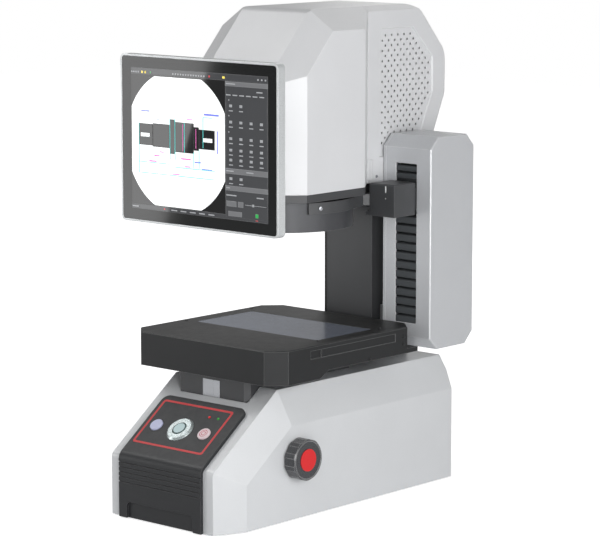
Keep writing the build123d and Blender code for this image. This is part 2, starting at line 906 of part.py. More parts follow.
# Saddle that slides along Y, with its runners above and below and the nuts of both screws
with BuildPart() as stage_saddle:
    with BuildSketch(Plane.XY.offset(saddle_bottom)):
        with Locations((0, (saddle_front + saddle_rear) / 2)):
            plan = Rectangle(2 * saddle_half_width, saddle_rear - saddle_front)
        chamfer(plan.vertices(), slide_corner)
        with Locations((0, stage_travel_front / 2)):
            Rectangle(light_window, light_window + stage_travel_front, mode=Mode.SUBTRACT)
    extrude(amount=saddle_thick)
stage_saddle.part.label = "stage_saddle"
export_step(stage_saddle.part, "parts/stage_saddle.step")

with BuildPart() as saddle_runners:
    # Below, around the Y rails
    with BuildSketch(Plane.XY.offset(stage_base_top + slide_gap)):
        for y in (y_runner_front, y_runner_rear):
            with Locations((-y_rail_x, y), (y_rail_x, y)):
                Rectangle(y_runner_width, y_runner_length)
    extrude(amount=slide_height - slide_gap)
    with BuildSketch(Plane.XY.offset(stage_base_top)):
        with Locations((-y_rail_x, stage_base_middle), (y_rail_x, stage_base_middle)):
            Rectangle(y_rail_width + 2 * slide_gap, stage_base_rear - stage_base_front)
    extrude(amount=y_rail_height + slide_gap, mode=Mode.SUBTRACT)
    # Above, around the X rails
    with BuildSketch(Plane.XY.offset(saddle_top)):
        for y in (x_rail_front, x_rail_rear):
            with Locations((-x_runner_x, y), (x_runner_x, y)):
                Rectangle(x_runner_length, x_runner_width)
    extrude(amount=x_runner_height)
    with BuildSketch(Plane.XY.offset(table_ceiling)):
        with Locations((0, x_rail_front), (0, x_rail_rear)):
            Rectangle(2 * x_rail_half_length, x_rail_width + 2 * slide_gap)
    extrude(amount=-(x_rail_height + slide_gap), mode=Mode.SUBTRACT)
saddle_runners.part.label = "saddle_runners"
export_step(saddle_runners.part, "parts/saddle_runners.step")

x_screw_z = saddle_top + screw_end_height
with BuildPart() as saddle_nuts:
    with BuildSketch(Plane.XY.offset(saddle_bottom)):
        with Locations((y_screw_x, stage_base_middle)):
            Rectangle(2 * (stage_screw_shaft + slide_gap + nut_wall), nut_length)
    extrude(amount=-(slide_height - slide_gap))
    with BuildSketch(Plane.XZ.offset(-stage_base_front)):
        with Locations((y_screw_x, y_screw_z)):
            Circle(stage_screw_shaft + slide_gap)
    extrude(amount=-(stage_base_rear - stage_base_front), mode=Mode.SUBTRACT)
    with BuildSketch(Plane.XY.offset(saddle_top)):
        with Locations((0, x_screw_y)):
            Rectangle(nut_length, nut_side)
    extrude(amount=screw_end_height + nut_side / 2)
    with BuildSketch(Plane.YZ.offset(-nut_length)):
        with Locations((x_screw_y, x_screw_z)):
            Circle(stage_screw_shaft + slide_gap)
    extrude(amount=2 * nut_length, mode=Mode.SUBTRACT)
saddle_nuts.part.label = "saddle_nuts"
export_step(saddle_nuts.part, "parts/saddle_nuts.step")

# Rails and screw of the X slide under the table's top plate
with BuildPart() as x_rails:
    with BuildSketch(Plane.XY.offset(table_ceiling - x_rail_height)):
        with Locations((0, x_rail_front), (0, x_rail_rear)):
            Rectangle(2 * x_rail_half_length, x_rail_width)
    extrude(amount=x_rail_height)
x_rails.part.label = "x_rails"
export_step(x_rails.part, "parts/x_rails.step")

with BuildPart() as x_screw:
    with BuildSketch(Plane.YZ.offset(-x_screw_half_length)):
        with Locations((x_screw_y, x_screw_z)):
            Circle(stage_screw_shaft)
    extrude(amount=2 * x_screw_half_length)
    with BuildSketch(Plane.XY.offset(table_ceiling)):
        for x in (-x_screw_half_length, x_screw_half_length):
            with Locations((x, x_screw_y)):
                Rectangle(screw_end_length, nut_side)
    extrude(amount=-(table_ceiling - x_screw_z + stage_screw_shaft + nut_wall))
x_screw.part.label = "x_screw"
export_step(x_screw.part, "parts/x_screw.step")

# Stage cover: deep at the front, stepped up along the sides, with a square flange at the rear
corner_size = stage_corner * sqrt(2) + 2 * stage_wall
with BuildPart() as stage_cover:
    with BuildSketch(Plane.XY.offset(stage_bottom)):
        with Locations((0, (stage_front + stage_rear) / 2)):
            plan = Rectangle(2 * stage_half_width, stage_rear - stage_front)
        chamfer(plan.vertices(), stage_corner)
    extrude(amount=stage_top - stage_bottom)
    chamfer(edges().group_by(Axis.Z)[-1], stage_edge)
    with BuildSketch(Plane.XY.offset(stage_bottom + skirt_step_height)):
        with Locations((0, stage_rear - stage_corner)):
            Rectangle(2 * stage_half_width, 2 * stage_corner)
    extrude(amount=flange_height)
    # Hollow underneath
    with BuildSketch(Plane.XY.offset(stage_bottom)):
        with Locations((0, (stage_front + stage_rear) / 2)):
            Rectangle(2 * (stage_half_width - stage_wall), stage_rear - stage_front - 2 * stage_wall)
        for x in (-stage_half_width, stage_half_width):
            for y in (stage_front, stage_rear):
                with Locations(Location((x, y), 45)):
                    Rectangle(corner_size, corner_size, mode=Mode.SUBTRACT)
    extrude(amount=table_ceiling - stage_bottom, mode=Mode.SUBTRACT)
    # Step in the lower edge
    with BuildSketch(Plane.YZ):
        with BuildLine():
            Polyline(
                (skirt_step_front, stage_bottom - overcut),
                (skirt_step_front, stage_bottom),
                (skirt_step_rear, stage_bottom + skirt_step_height),
                (stage_rear + overcut, stage_bottom + skirt_step_height),
                (stage_rear + overcut, stage_bottom - overcut),
                close=True,
            )
        make_face()
    extrude(amount=stage_half_width + overcut, both=True, mode=Mode.SUBTRACT)
    # Shallow channel and pocket in each side
    for side in (1, -1):
        with BuildSketch(Plane.YZ.offset(side * stage_half_width)):
            with Locations(
                ((side_channel_front + side_channel_rear) / 2, side_channel_low + side_channel_height / 2)
            ):
                Rectangle(side_channel_rear - side_channel_front, side_channel_height)
        extrude(amount=-side * side_channel_depth, mode=Mode.SUBTRACT)
        with BuildSketch(Plane.YZ.offset(side * stage_half_width)):
            with Locations(
                (side_channel_front + side_pocket_length / 2, side_channel_low + side_channel_height / 2)
            ):
                Rectangle(side_pocket_length, side_channel_height)
        extrude(amount=-side * side_pocket_depth, mode=Mode.SUBTRACT)
    # Seat and window of the glass
    with BuildSketch(Plane.XY.offset(stage_top)):
        RectangleRounded(
            2 * (glass_half_width + glass_gap), 2 * (glass_half_depth + glass_gap), glass_corner + glass_gap
        )
    extrude(amount=-(glass_thick + glass_sink), mode=Mode.SUBTRACT)
    with BuildSketch(Plane.XY.offset(stage_top)):
        Rectangle(2 * (glass_half_width - glass_ledge), 2 * (glass_half_depth - glass_ledge))
    extrude(amount=-stage_top_plate, mode=Mode.SUBTRACT)
stage_cover.part.label = "stage_cover"
export_step(stage_cover.part, "parts/stage_cover.step")

with BuildPart() as stage_glass:
    with BuildSketch(Plane.XY.offset(stage_top - glass_sink - glass_thick)):
        RectangleRounded(2 * glass_half_width, 2 * glass_half_depth, glass_corner)
    extrude(amount=glass_thick)
stage_glass.part.label = "stage_glass"
export_step(stage_glass.part, "parts/stage_glass.step")

# Column: an upright casting with a cove under the head, standing on the base plate
column_shoulder = arm_top - (column_rear - column_neck_rear)
with BuildPart() as column:
    with BuildSketch(Plane.YZ):
        with BuildLine():
            Polyline(
                (column_rear, plate_top),
                (column_front, plate_top),
                (column_front, band_bottom - cove_radius),
            )
            RadiusArc(
                (column_front, band_bottom - cove_radius),
                (column_front - cove_radius, band_bottom),
                cove_radius,
            )
            Polyline(
                (column_front - cove_radius, band_bottom),
                (band_rear + seat_gap, band_bottom),
                (band_rear + seat_gap, head_bottom),
                (arm_front, head_bottom),
                (arm_front, arm_top),
                (column_front, arm_top),
                (column_front, column_top),
                (column_neck_rear, column_top),
                (column_neck_rear, arm_top),
                (column_rear, column_shoulder),
                (column_rear, plate_top),
            )
        make_face()
    extrude(amount=column_half_width, both=True)
    # Hollow casting, open below
    with BuildSketch(Plane.XY.offset(plate_top)):
        with Locations((0, (column_front + column_rear) / 2)):
            Rectangle(2 * (column_half_width - column_wall), column_rear - column_front - 2 * column_wall)
    extrude(amount=column_shoulder - column_wall - plate_top, mode=Mode.SUBTRACT)
column.part.label = "column"
export_step(column.part, "parts/column.step")

# Black cover on the column's left side
with BuildPart() as column_side_cover:
    with BuildSketch(Plane.YZ.offset(-column_half_width)):
        with BuildLine():
            Polyline(
                (column_front + side_cover_margin, base_height + seat_gap),
                (column_rear - side_cover_margin, base_height + seat_gap),
                (column_rear - side_cover_margin, band_bottom),
                (column_front + side_cover_margin, band_bottom),
                close=True,
            )
        make_face()
    extrude(amount=-side_cover_thick)
    chamfer(faces().sort_by(Axis.X)[0].edges(), side_cover_edge)
column_side_cover.part.label = "column_side_cover"
export_step(column_side_cover.part, "parts/column_side_cover.step")

# Dark plate under the head with the light port
band_front = head_front + band_inset
band_side = head_half_width - band_inset
band_corner_y = head_front + head_corner_depth
rear_corner_lean = (head_half_width - cover_half_width) / (head_rear - head_side_rear)
band_rear_side = band_side - (band_rear - head_side_rear) * rear_corner_lean
with BuildPart() as head_plate:
    with BuildSketch(Plane.XY.offset(band_bottom)):
        with BuildLine():
            Polyline(
                (-head_front_half_width, band_front),
                (head_front_half_width, band_front),
                (band_side, band_corner_y),
                (band_side, head_side_rear),
                (band_rear_side, band_rear),
                (-band_rear_side, band_rear),
                (-band_side, head_side_rear),
                (-band_side, band_corner_y),
                close=True,
            )
        make_face()
        Circle(light_port_radius, mode=Mode.SUBTRACT)
    extrude(amount=head_bottom - band_bottom)
    chamfer(edges().filter_by(GeomType.CIRCLE).group_by(Axis.Z)[0], light_port_edge)
head_plate.part.label = "head_plate"
export_step(head_plate.part, "parts/head_plate.step")

# White head housing, open below and at the rear
head_front_corner = (head_front_half_width, head_front, head_front_top)
head_side_corner = (head_half_width, band_corner_y, head_side_bend)
with BuildPart() as head_housing:
    with BuildSketch(Plane.YZ):
        with BuildLine():
            Polyline(
                (head_front, head_bottom),
                (head_front, head_front_top),
                (head_slope_end, head_top),
                (head_rear, head_top),
                (head_rear, head_bottom),
                close=True,
            )
        make_face()
        fillet(vertices().sort_by_distance((head_front, head_front_top))[0], head_front_bend)
        fillet(vertices().sort_by_distance((head_slope_end, head_top))[0], head_top_bend)
    extrude(amount=head_half_width, both=True)
    for side in (1, -1):
        head_side_level = (head_half_width, band_corner_y, head_front_top)
        side_edge = toward(head_front_corner, head_side_level)
        corner_cut = side_plane(head_front_corner, side_edge, (0, 0, 1), side)
        split(bisect_by=corner_cut, keep=Keep.BOTTOM)
        shoulder_rise = (head_front_half_width - head_half_width, 0, head_top - head_side_top)
        shoulder_cut = side_plane((head_front_half_width, 0, head_top), (0, 1, 0), shoulder_rise, side)
        split(bisect_by=shoulder_cut, keep=Keep.BOTTOM)
        slope_along = (0, head_slope_end - head_front, head_top - head_front_top)
        corner_edge = toward(head_side_corner, head_front_corner)
        slope_cut = side_plane(head_front_corner, slope_along, corner_edge, side)
        split(bisect_by=slope_cut, keep=Keep.BOTTOM)
        rear_corner = (cover_half_width - head_half_width, head_rear - head_side_rear, 0)
        rear_cut = side_plane((head_half_width, head_side_rear, head_bottom), rear_corner, (0, 0, 1), side)
        split(bisect_by=rear_cut, keep=Keep.BOTTOM)
    open_faces = [faces().sort_by(Axis.Z)[0], faces().sort_by(Axis.Y)[-1]]
    offset(amount=-head_wall, openings=open_faces, kind=Kind.INTERSECTION)
head_housing.part.label = "head_housing"
export_step(head_housing.part, "parts/head_housing.step")

# Section of the head at the joint to the rear cover
shoulder_fall = (head_top - head_side_top) / (head_half_width - head_front_half_width)
cover_side_top = head_top - (cover_half_width - head_front_half_width) * shoulder_fall
joint_section = [
    (-cover_half_width, cover_bottom),
    (cover_half_width, cover_bottom),
    (cover_half_width, cover_side_top),
    (head_front_half_width, head_top),
    (-head_front_half_width, head_top),
    (-cover_half_width, cover_side_top),
]

# Rear cover with a side window for each vent panel, open below for the column
vent_top = cover_top - vent_top_drop
vent_outline = [
    (vent_front, vent_bottom),
    (vent_front, vent_top - vent_corner),
    (vent_front + vent_corner, vent_top),
    (vent_slope_top, vent_top),
    (vent_rear, vent_top - (vent_rear - vent_slope_top)),
    (vent_rear, cover_top - vent_turn_drop),
    (vent_rear_foot, vent_bottom),
]
with BuildPart() as rear_cover:
    with BuildSketch(Plane.YZ):
        with BuildLine():
            Polyline(
                (cover_front, cover_foot_height - cover_leg),
                (cover_front, cover_top),
                (cover_slope_top, cover_top),
                (cover_rear, cover_slope_low),
                (cover_rear, cover_turn_height),
                (cover_foot_rear, cover_foot_height),
                (cover_foot_rear, cover_foot_height - cover_leg),
                close=True,
            )
        make_face()
        fillet(vertices().sort_by_distance((cover_slope_top, cover_top))[0], cover_top_radius)
        fillet(vertices().sort_by_distance((cover_rear, cover_slope_low))[0], cover_mid_radius)
        fillet(vertices().sort_by_distance((cover_rear, cover_turn_height))[0], cover_low_radius)
    extrude(amount=cover_half_width, both=True)
    split(bisect_by=Plane.XY.offset(cover_bottom), keep=Keep.TOP)
    for side in (1, -1):
        shoulder_rise = (head_front_half_width - head_half_width, 0, head_top - head_side_top)
        shoulder_cut = side_plane((head_front_half_width, 0, head_top), (0, 1, 0), shoulder_rise, side)
        split(bisect_by=shoulder_cut, keep=Keep.BOTTOM)
    open_faces = [faces().sort_by(Axis.Z)[0], faces().sort_by(Axis.Y)[0]]
    offset(amount=-cover_wall, openings=open_faces, kind=Kind.INTERSECTION)
    with BuildSketch(Plane.YZ):
        with BuildLine():
            Polyline(*vent_outline, close=True)
        make_face()
    extrude(amount=cover_half_width + overcut, both=True, mode=Mode.SUBTRACT)
    # Bevelled rim of each window
    for side in (1, -1):
        with BuildSketch(Plane.YZ.offset(side * cover_half_width)):
            with BuildLine():
                Polyline(*vent_outline, close=True)
            make_face()
            offset(amount=vent_bevel, kind=Kind.INTERSECTION)
        extrude(amount=-side * vent_bevel, taper=45, mode=Mode.SUBTRACT)
rear_cover.part.label = "rear_cover"
export_step(rear_cover.part, "parts/rear_cover.step")

# Vent panels behind the side windows
with BuildPart() as vent_panels:
    for side in (1, -1):
        with BuildSketch(Plane.YZ.offset(side * (cover_half_width - cover_wall))):
            with BuildLine():
                Polyline(*vent_outline, close=True)
            make_face()
            offset(amount=vent_overlap, kind=Kind.INTERSECTION)
        extrude(amount=-side * vent_sheet)
vent_panels.part.label = "vent_panels"
export_step(vent_panels.part, "parts/vent_panels.step")

# Dark frame inside the joint between the head housing and the rear cover
frame_opening_top = head_top - head_wall - joint_frame_width
frame_opening_width = 2 * (cover_half_width - joint_frame_width)
with BuildPart() as joint_frame:
    with BuildSketch(Plane.XZ.offset(-(head_rear - joint_frame_reach))):
        with BuildLine():
            Polyline(*joint_section, close=True)
        make_face()
        offset(amount=-cover_wall - joint_frame_gap, kind=Kind.INTERSECTION)
        with Locations((0, (arm_top + frame_opening_top) / 2)):
            Rectangle(frame_opening_width, frame_opening_top - arm_top, mode=Mode.SUBTRACT)
        with Locations((0, (cover_bottom + arm_top) / 2)):
            Rectangle(2 * (column_half_width + seat_gap), arm_top - cover_bottom, mode=Mode.SUBTRACT)
    extrude(amount=-(cover_joint + 2 * joint_frame_reach))
joint_frame.part.label = "joint_frame"
export_step(joint_frame.part, "parts/joint_frame.step")

# Lens barrel with its front glass, and the camera on top
with BuildPart() as lens_barrel:
    with BuildSketch(Plane.XZ) as lens_profile:
        with BuildLine():
            Polyline(
                (0, head_bottom + lens_recess),
                (lens_glass_radius, head_bottom + lens_recess),
                (lens_glass_radius, head_bottom),
                (lens_flange_radius, head_bottom),
                (lens_flange_radius, head_bottom + lens_flange_thick),
                (lens_radius, head_bottom + lens_flange_thick),
                (lens_radius, lens_shoulder),
                (lens_neck_radius, lens_shoulder),
                (lens_neck_radius, lens_top),
                (0, lens_top),
                close=True,
            )
        make_face()
    revolve(axis=Axis.Z)
lens_barrel.part.label = "lens_barrel"
export_step(lens_barrel.part, "parts/lens_barrel.step")

with BuildPart() as lens_front_glass:
    with BuildSketch(Plane.XY.offset(head_bottom + lens_recess)):
        Circle(lens_glass_radius - seat_gap)
    extrude(amount=-lens_glass_thick)
lens_front_glass.part.label = "lens_front_glass"
export_step(lens_front_glass.part, "parts/lens_front_glass.step")

with BuildPart() as lens_camera:
    with BuildSketch(Plane.XY.offset(lens_top)):
        RectangleRounded(camera_size, camera_size, camera_corner)
    extrude(amount=camera_height)
lens_camera.part.label = "lens_camera"
export_step(lens_camera.part, "parts/lens_camera.step")

# Side housing of the ring light's lift, open to its mounting plate
box_outline = [
    (box_front, box_bottom + box_chamfer),
    (box_front, box_top - box_chamfer),
    (box_front + box_chamfer, box_top),
    (box_rear - box_chamfer, box_top),
    (box_rear, box_top - box_chamfer),
    (box_rear, box_bottom + box_chamfer),
    (box_rear - box_chamfer, box_bottom),
    (box_front + box_chamfer, box_bottom),
]
plate_right = box_left + mount_plate_thick
slot_middle = (slot_left + slot_right) / 2
with BuildPart() as lift_housing:
    with BuildSketch(Plane.YZ.offset(plate_right)):
        with BuildLine():
            Polyline(*box_outline, close=True)
        make_face()
    extrude(amount=box_right - plate_right)
    chamfer(edges().group_by(Axis.X)[-1], box_edge)
    with BuildSketch(Plane.YZ.offset(plate_right)):
        with BuildLine():
            Polyline(*box_outline, close=True)
        make_face()
        offset(amount=-box_wall, kind=Kind.INTERSECTION)
    extrude(amount=box_right - box_wall - plate_right, mode=Mode.SUBTRACT)
    with BuildSketch(Plane.XZ.offset(-box_front)):
        with Locations((slot_middle, (slot_bottom + slot_top) / 2)):
            RectangleRounded(slot_right - slot_left, slot_top - slot_bottom, slot_corner)
    extrude(amount=-2 * box_wall, mode=Mode.SUBTRACT)
lift_housing.part.label = "lift_housing"
export_step(lift_housing.part, "parts/lift_housing.step")

# Mounting plate of the lift, held off the column by two spacers
spacer_middle = (column_front + column_rear) / 2
with BuildPart() as lift_mount:
    with BuildSketch(Plane.YZ.offset(box_left)):
        with BuildLine():
            Polyline(*box_outline, close=True)
        make_face()
    extrude(amount=mount_plate_thick)
    with BuildSketch(Plane.YZ.offset(column_half_width)):
        for level in (spacer_low, spacer_high):
            with Locations((spacer_middle, level)):
                Rectangle(spacer_depth, spacer_height)
    extrude(amount=box_left - column_half_width)
lift_mount.part.label = "lift_mount"
export_step(lift_mount.part, "parts/lift_mount.step")

# Rail, screw and motor of the ring light's lift
ring_screw_x = (slot_left + slot_right) / 2
motor_shelf = box_bottom + box_wall + ring_motor_height
with BuildPart() as ring_lift_rail:
    with BuildSketch(Plane.YZ.offset(plate_right)):
        with Locations((lift_rail_y, (slot_bottom + slot_top) / 2)):
            Rectangle(lift_rail_width, slot_top - slot_bottom)
    extrude(amount=lift_rail_depth)
ring_lift_rail.part.label = "ring_lift_rail"
export_step(ring_lift_rail.part, "parts/ring_lift_rail.step")

with BuildPart() as ring_lift_drive:
    with BuildSketch(Plane.XY.offset(motor_shelf - ring_motor_height)):
        with Locations((ring_screw_x, ring_screw_y)):
            Rectangle(ring_motor_size, ring_motor_size)
    extrude(amount=ring_motor_height)
    with BuildSketch(Plane.XY.offset(motor_shelf)):
        with Locations((ring_screw_x, ring_screw_y)):
            Circle(ring_screw_radius)
    extrude(amount=slot_top - motor_shelf)
    with BuildSketch(Plane.XY.offset(slot_top)):
        with Locations(((plate_right + ring_screw_x + bearing_half) / 2, ring_screw_y)):
            Rectangle(ring_screw_x + bearing_half - plate_right, 2 * bearing_half)
    extrude(amount=bearing_height)
ring_lift_drive.part.label = "ring_lift_drive"
export_step(ring_lift_drive.part, "parts/ring_lift_drive.step")

# Carriage: the block in front of the slot, its neck through the slot and the runner on the rail
block_rear = box_front - block_standoff
block_middle_z = (block_bottom + block_top) / 2
neck_left = slot_left + neck_side_gap
neck_right = slot_right - neck_side_gap
with BuildPart() as lift_block:
    with BuildSketch(Plane.XY.offset(block_bottom)):
        with Locations(((block_left + block_right) / 2, (block_front + block_rear) / 2)):
            Rectangle(block_right - block_left, block_rear - block_front)
    extrude(amount=block_top - block_bottom)
    chamfer(edges().group_by(Axis.Z)[-1], block_edge)
    with BuildSketch(Plane.XY.offset(block_bottom)):
        with Locations(((carriage_flange_left + block_left) / 2, (block_front + block_rear) / 2)):
            Rectangle(block_left - carriage_flange_left, block_rear - block_front)
    extrude(amount=carriage_flange_thick)
    with BuildSketch(Plane.XY.offset(block_middle_z - neck_height / 2)):
        with Locations(((neck_left + neck_right) / 2, (block_rear + neck_rear) / 2)):
            Rectangle(neck_right - neck_left, neck_rear - block_rear)
    extrude(amount=neck_height)
    with BuildSketch(Plane.XY.offset(block_middle_z - neck_height)):
        with Locations((ring_screw_x, ring_screw_y)):
            Circle(ring_screw_radius + seat_gap)
    extrude(amount=2 * neck_height, mode=Mode.SUBTRACT)
lift_block.part.label = "lift_block"
export_step(lift_block.part, "parts/lift_block.step")

with BuildPart() as lift_runner:
    runner_left = plate_right + guide_gap
    with BuildSketch(Plane.XY.offset(block_middle_z - runner_block_height / 2)):
        with Locations(((runner_left + neck_left) / 2, lift_rail_y)):
            Rectangle(neck_left - runner_left, lift_rail_width + 2 * runner_side)
        with Locations((plate_right + lift_rail_depth / 2, lift_rail_y)):
            Rectangle(lift_rail_depth + 2 * guide_gap, lift_rail_width + 2 * guide_gap, mode=Mode.SUBTRACT)
    extrude(amount=runner_block_height)
lift_runner.part.label = "lift_runner"
export_step(lift_runner.part, "parts/lift_runner.step")

# Bellows below and above the neck, in the slot
bellows_left = slot_left + bellows_side_gap
bellows_right = slot_right - bellows_side_gap
bellows_front = box_front + bellows_sink
for name, low, high in (("lower_bellows", slot_bottom, block_bottom), ("upper_bellows", block_top, slot_top)):
    folds = max(round((high - low) / bellows_pitch), 1)
    pitch = (high - low) / folds
    ridge = [(bellows_front + bellows_depth, low)]
    for index in range(folds):
        fold_low = low + index * pitch
        ridge.append((bellows_front, fold_low + fold_start * pitch))
        ridge.append((bellows_front, fold_low + fold_end * pitch))
        ridge.append((bellows_front + bellows_depth, fold_low + fold_back * pitch))
        ridge.append((bellows_front + bellows_depth, fold_low + pitch))
    back = [(y + bellows_sheet, z) for y, z in reversed(ridge)]
    with BuildPart() as bellows:
        with BuildSketch(Plane.YZ.offset(bellows_left)):
            with BuildLine():
                Polyline(*ridge, *back, close=True)
            make_face()
        extrude(amount=bellows_right - bellows_left)
    bellows.part.label = name
    export_step(bellows.part, f"parts/{name}.step")

# Clamp around the ring light with the arm to the carriage
clamp_radius = ring_radius + clamp_thick
arm_start = radians(45 - clamp_arm_half_angle)
arm_end = radians(45 + clamp_arm_half_angle)
with BuildPart() as ring_clamp:
    with BuildSketch(Plane.XY.offset(clamp_bottom)):
        with BuildLine():
            first = (clamp_radius * cos(radians(clamp_start)), clamp_radius * sin(radians(clamp_start)))
            last = (clamp_radius * cos(radians(clamp_end)), clamp_radius * sin(radians(clamp_end)))
            CenterArc((0, 0), clamp_radius, clamp_start, clamp_end - clamp_start)
            Polyline(last, (0, 0), first)
        make_face()
        with BuildLine():
            Polyline(
                (0, 0),
                (clamp_radius * cos(arm_start), clamp_radius * sin(arm_start)),
                (block_left - arm_corner, block_front - arm_corner),
                (block_left, block_front),
                (block_left, arm_rear),
                (clamp_radius * cos(arm_end), clamp_radius * sin(arm_end)),
                close=True,
            )
        make_face()
        Circle(ring_radius, mode=Mode.SUBTRACT)
    extrude(amount=ring_top - clamp_bottom)
ring_clamp.part.label = "ring_clamp"
export_step(ring_clamp.part, "parts/ring_clamp.step")

# Ring light housing and diffuser
with BuildPart() as ring_housing:
    with BuildSketch(Plane.XY.offset(ring_bottom)):
        Circle(ring_radius)
        Circle(ring_bore, mode=Mode.SUBTRACT)
    extrude(amount=ring_top - ring_bottom)
    with BuildSketch(Plane.XY.offset(ring_bottom)):
        Circle(ring_radius - ring_wall)
        Circle(ring_bore + ring_wall, mode=Mode.SUBTRACT)
    extrude(amount=ring_top - ring_bottom - ring_wall, mode=Mode.SUBTRACT)
ring_housing.part.label = "ring_housing"
export_step(ring_housing.part, "parts/ring_housing.step")

with BuildPart() as ring_diffuser:
    with BuildSketch(Plane.XY.offset(ring_bottom + diffuser_sink)):
        Circle(ring_radius - ring_wall)
        Circle(ring_bore + ring_wall, mode=Mode.SUBTRACT)
    extrude(amount=diffuser_thick)
ring_diffuser.part.label = "ring_diffuser"
export_step(ring_diffuser.part, "parts/ring_diffuser.step")

# Monitor frame with its hinge knuckle, and the screen
opening_width = 2 * (monitor_half_width - monitor_rim)
opening_height = monitor_height - 2 * monitor_rim
with BuildPart() as monitor_frame:
    with BuildSketch(Plane.XZ.offset(-monitor_front)):
        with Locations((0, monitor_middle)):
            RectangleRounded(2 * monitor_half_width, monitor_height, monitor_corner)
    extrude(amount=-monitor_thick)
    chamfer(edges().group_by(Axis.Y)[-1], monitor_edge)
    with BuildSketch(Plane.XZ.offset(-monitor_front)):
        with Locations((0, monitor_middle)):
            RectangleRounded(opening_width, opening_height, monitor_corner - monitor_rim)
    extrude(amount=-screen_thick, mode=Mode.SUBTRACT)
    with BuildSketch(Plane.XZ.offset(-monitor_rear)):
        with Locations((0, monitor_middle)):
            Rectangle(hinge_plate_size, hinge_plate_size)
    extrude(amount=-hinge_plate_thick)
    with BuildSketch(Plane.YZ.offset(-hinge_width / 2)):
        with Locations((hinge_y, monitor_middle)):
            Circle(hinge_barrel_radius)
        with Locations(((monitor_rear + hinge_y) / 2, monitor_middle)):
            Rectangle(hinge_y - monitor_rear, 2 * hinge_barrel_radius)
    extrude(amount=hinge_width)
    with BuildSketch(Plane.YZ.offset(-hinge_width)):
        with Locations((hinge_y, monitor_middle)):
            Circle(hinge_pin_radius + shaft_gap)
    extrude(amount=2 * hinge_width, mode=Mode.SUBTRACT)
monitor_frame.part.label = "monitor_frame"
export_step(monitor_frame.part, "parts/monitor_frame.step")

with BuildPart() as screen_glass:
    with BuildSketch(Plane.XZ.offset(-monitor_front)):
        with Locations((0, monitor_middle)):
            RectangleRounded(
                2 * (monitor_half_width - monitor_rim - seat_gap),
                monitor_height - 2 * (monitor_rim + seat_gap),
                monitor_corner - monitor_rim - seat_gap,
            )
    extrude(amount=-screen_thick)
screen_glass.part.label = "screen_glass"
export_step(screen_glass.part, "parts/screen_glass.step")

# Monitor bracket on the head's front with the hinge pin
with BuildPart() as monitor_bracket:
    with BuildSketch(Plane.XZ.offset(-head_front)):
        with Locations((0, monitor_middle)):
            Rectangle(hinge_plate_size, hinge_plate_size)
    extrude(amount=hinge_plate_thick)
    ear_start = hinge_width / 2 + seat_gap
    for side in (1, -1):
        with BuildSketch(Plane.YZ.offset(side * ear_start)):
            with Locations((hinge_y, monitor_middle)):
                Circle(hinge_barrel_radius)
            with Locations(((head_front + hinge_y) / 2, monitor_middle)):
                Rectangle(head_front - hinge_y, 2 * hinge_barrel_radius)
        extrude(amount=side * hinge_ear)
    with BuildSketch(Plane.YZ.offset(-ear_start - hinge_ear)):
        with Locations((hinge_y, monitor_middle)):
            Circle(hinge_pin_radius)
    extrude(amount=2 * (ear_start + hinge_ear))
monitor_bracket.part.label = "monitor_bracket"
export_step(monitor_bracket.part, "parts/monitor_bracket.step")

# Power supply, controller, and the inlet and switch in the rear wall
with BuildPart() as power_and_control:
    with BuildSketch(Plane.XY.offset(plate_top)):
        with Locations((-electronics_x, electronics_y), (electronics_x, electronics_y)):
            Rectangle(electronics_width, electronics_depth)
    extrude(amount=electronics_height)
power_and_control.part.label = "power_and_control"
export_step(power_and_control.part, "parts/power_and_control.step")

for name, z in (("power_inlet", inlet_z), ("power_switch", switch_z)):
    with BuildPart() as fitting:
        with BuildSketch(Plane.XZ.offset(-base_rear)):
            with Locations((-inlet_x, z)):
                flange = 2 * inlet_flange
                RectangleRounded(inlet_width + flange, inlet_height + flange, inlet_corner)
        extrude(amount=-inlet_flange_thick)
        with BuildSketch(Plane.XZ.offset(-base_rear)):
            with Locations((-inlet_x, z)):
                Rectangle(inlet_width, inlet_height)
        extrude(amount=inlet_depth)
    fitting.part.label = name
    export_step(fitting.part, f"parts/{name}.step")
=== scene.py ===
"""Looks of a bench-top vision measuring machine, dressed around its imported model.

Lengths are in metres, +Z is up, the front faces -Y and the optical axis stands at the origin.
"""
import logging
import math
from dataclasses import dataclass, field, replace
from enum import Enum
from typing import Callable, Optional, Sequence

import bmesh
import bpy
from mathutils import Matrix, Vector


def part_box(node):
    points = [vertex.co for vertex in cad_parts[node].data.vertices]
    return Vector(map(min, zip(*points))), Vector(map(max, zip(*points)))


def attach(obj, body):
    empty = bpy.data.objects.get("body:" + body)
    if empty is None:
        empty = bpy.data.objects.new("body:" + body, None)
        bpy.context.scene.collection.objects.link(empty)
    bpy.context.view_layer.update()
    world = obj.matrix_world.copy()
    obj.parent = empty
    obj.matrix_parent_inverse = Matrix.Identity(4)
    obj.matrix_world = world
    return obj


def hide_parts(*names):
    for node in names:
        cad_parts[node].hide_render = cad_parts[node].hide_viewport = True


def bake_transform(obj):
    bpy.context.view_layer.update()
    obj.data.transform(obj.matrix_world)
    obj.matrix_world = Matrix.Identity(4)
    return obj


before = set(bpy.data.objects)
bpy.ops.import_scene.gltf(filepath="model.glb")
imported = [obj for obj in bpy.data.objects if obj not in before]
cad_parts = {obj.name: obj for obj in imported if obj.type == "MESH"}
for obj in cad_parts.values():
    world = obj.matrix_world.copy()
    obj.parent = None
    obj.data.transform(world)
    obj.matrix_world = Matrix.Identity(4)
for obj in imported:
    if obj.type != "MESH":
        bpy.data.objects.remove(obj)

log = logging.getLogger("measuring_machine")
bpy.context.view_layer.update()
SMOOTH_UNDER = math.radians(32)
SAME = 1e-6
FACING = 0.95
BEVEL_STEPS = 2
ROUND_SIDES = 24
Colour = tuple[float, float, float]
Point = tuple[float, float, float]
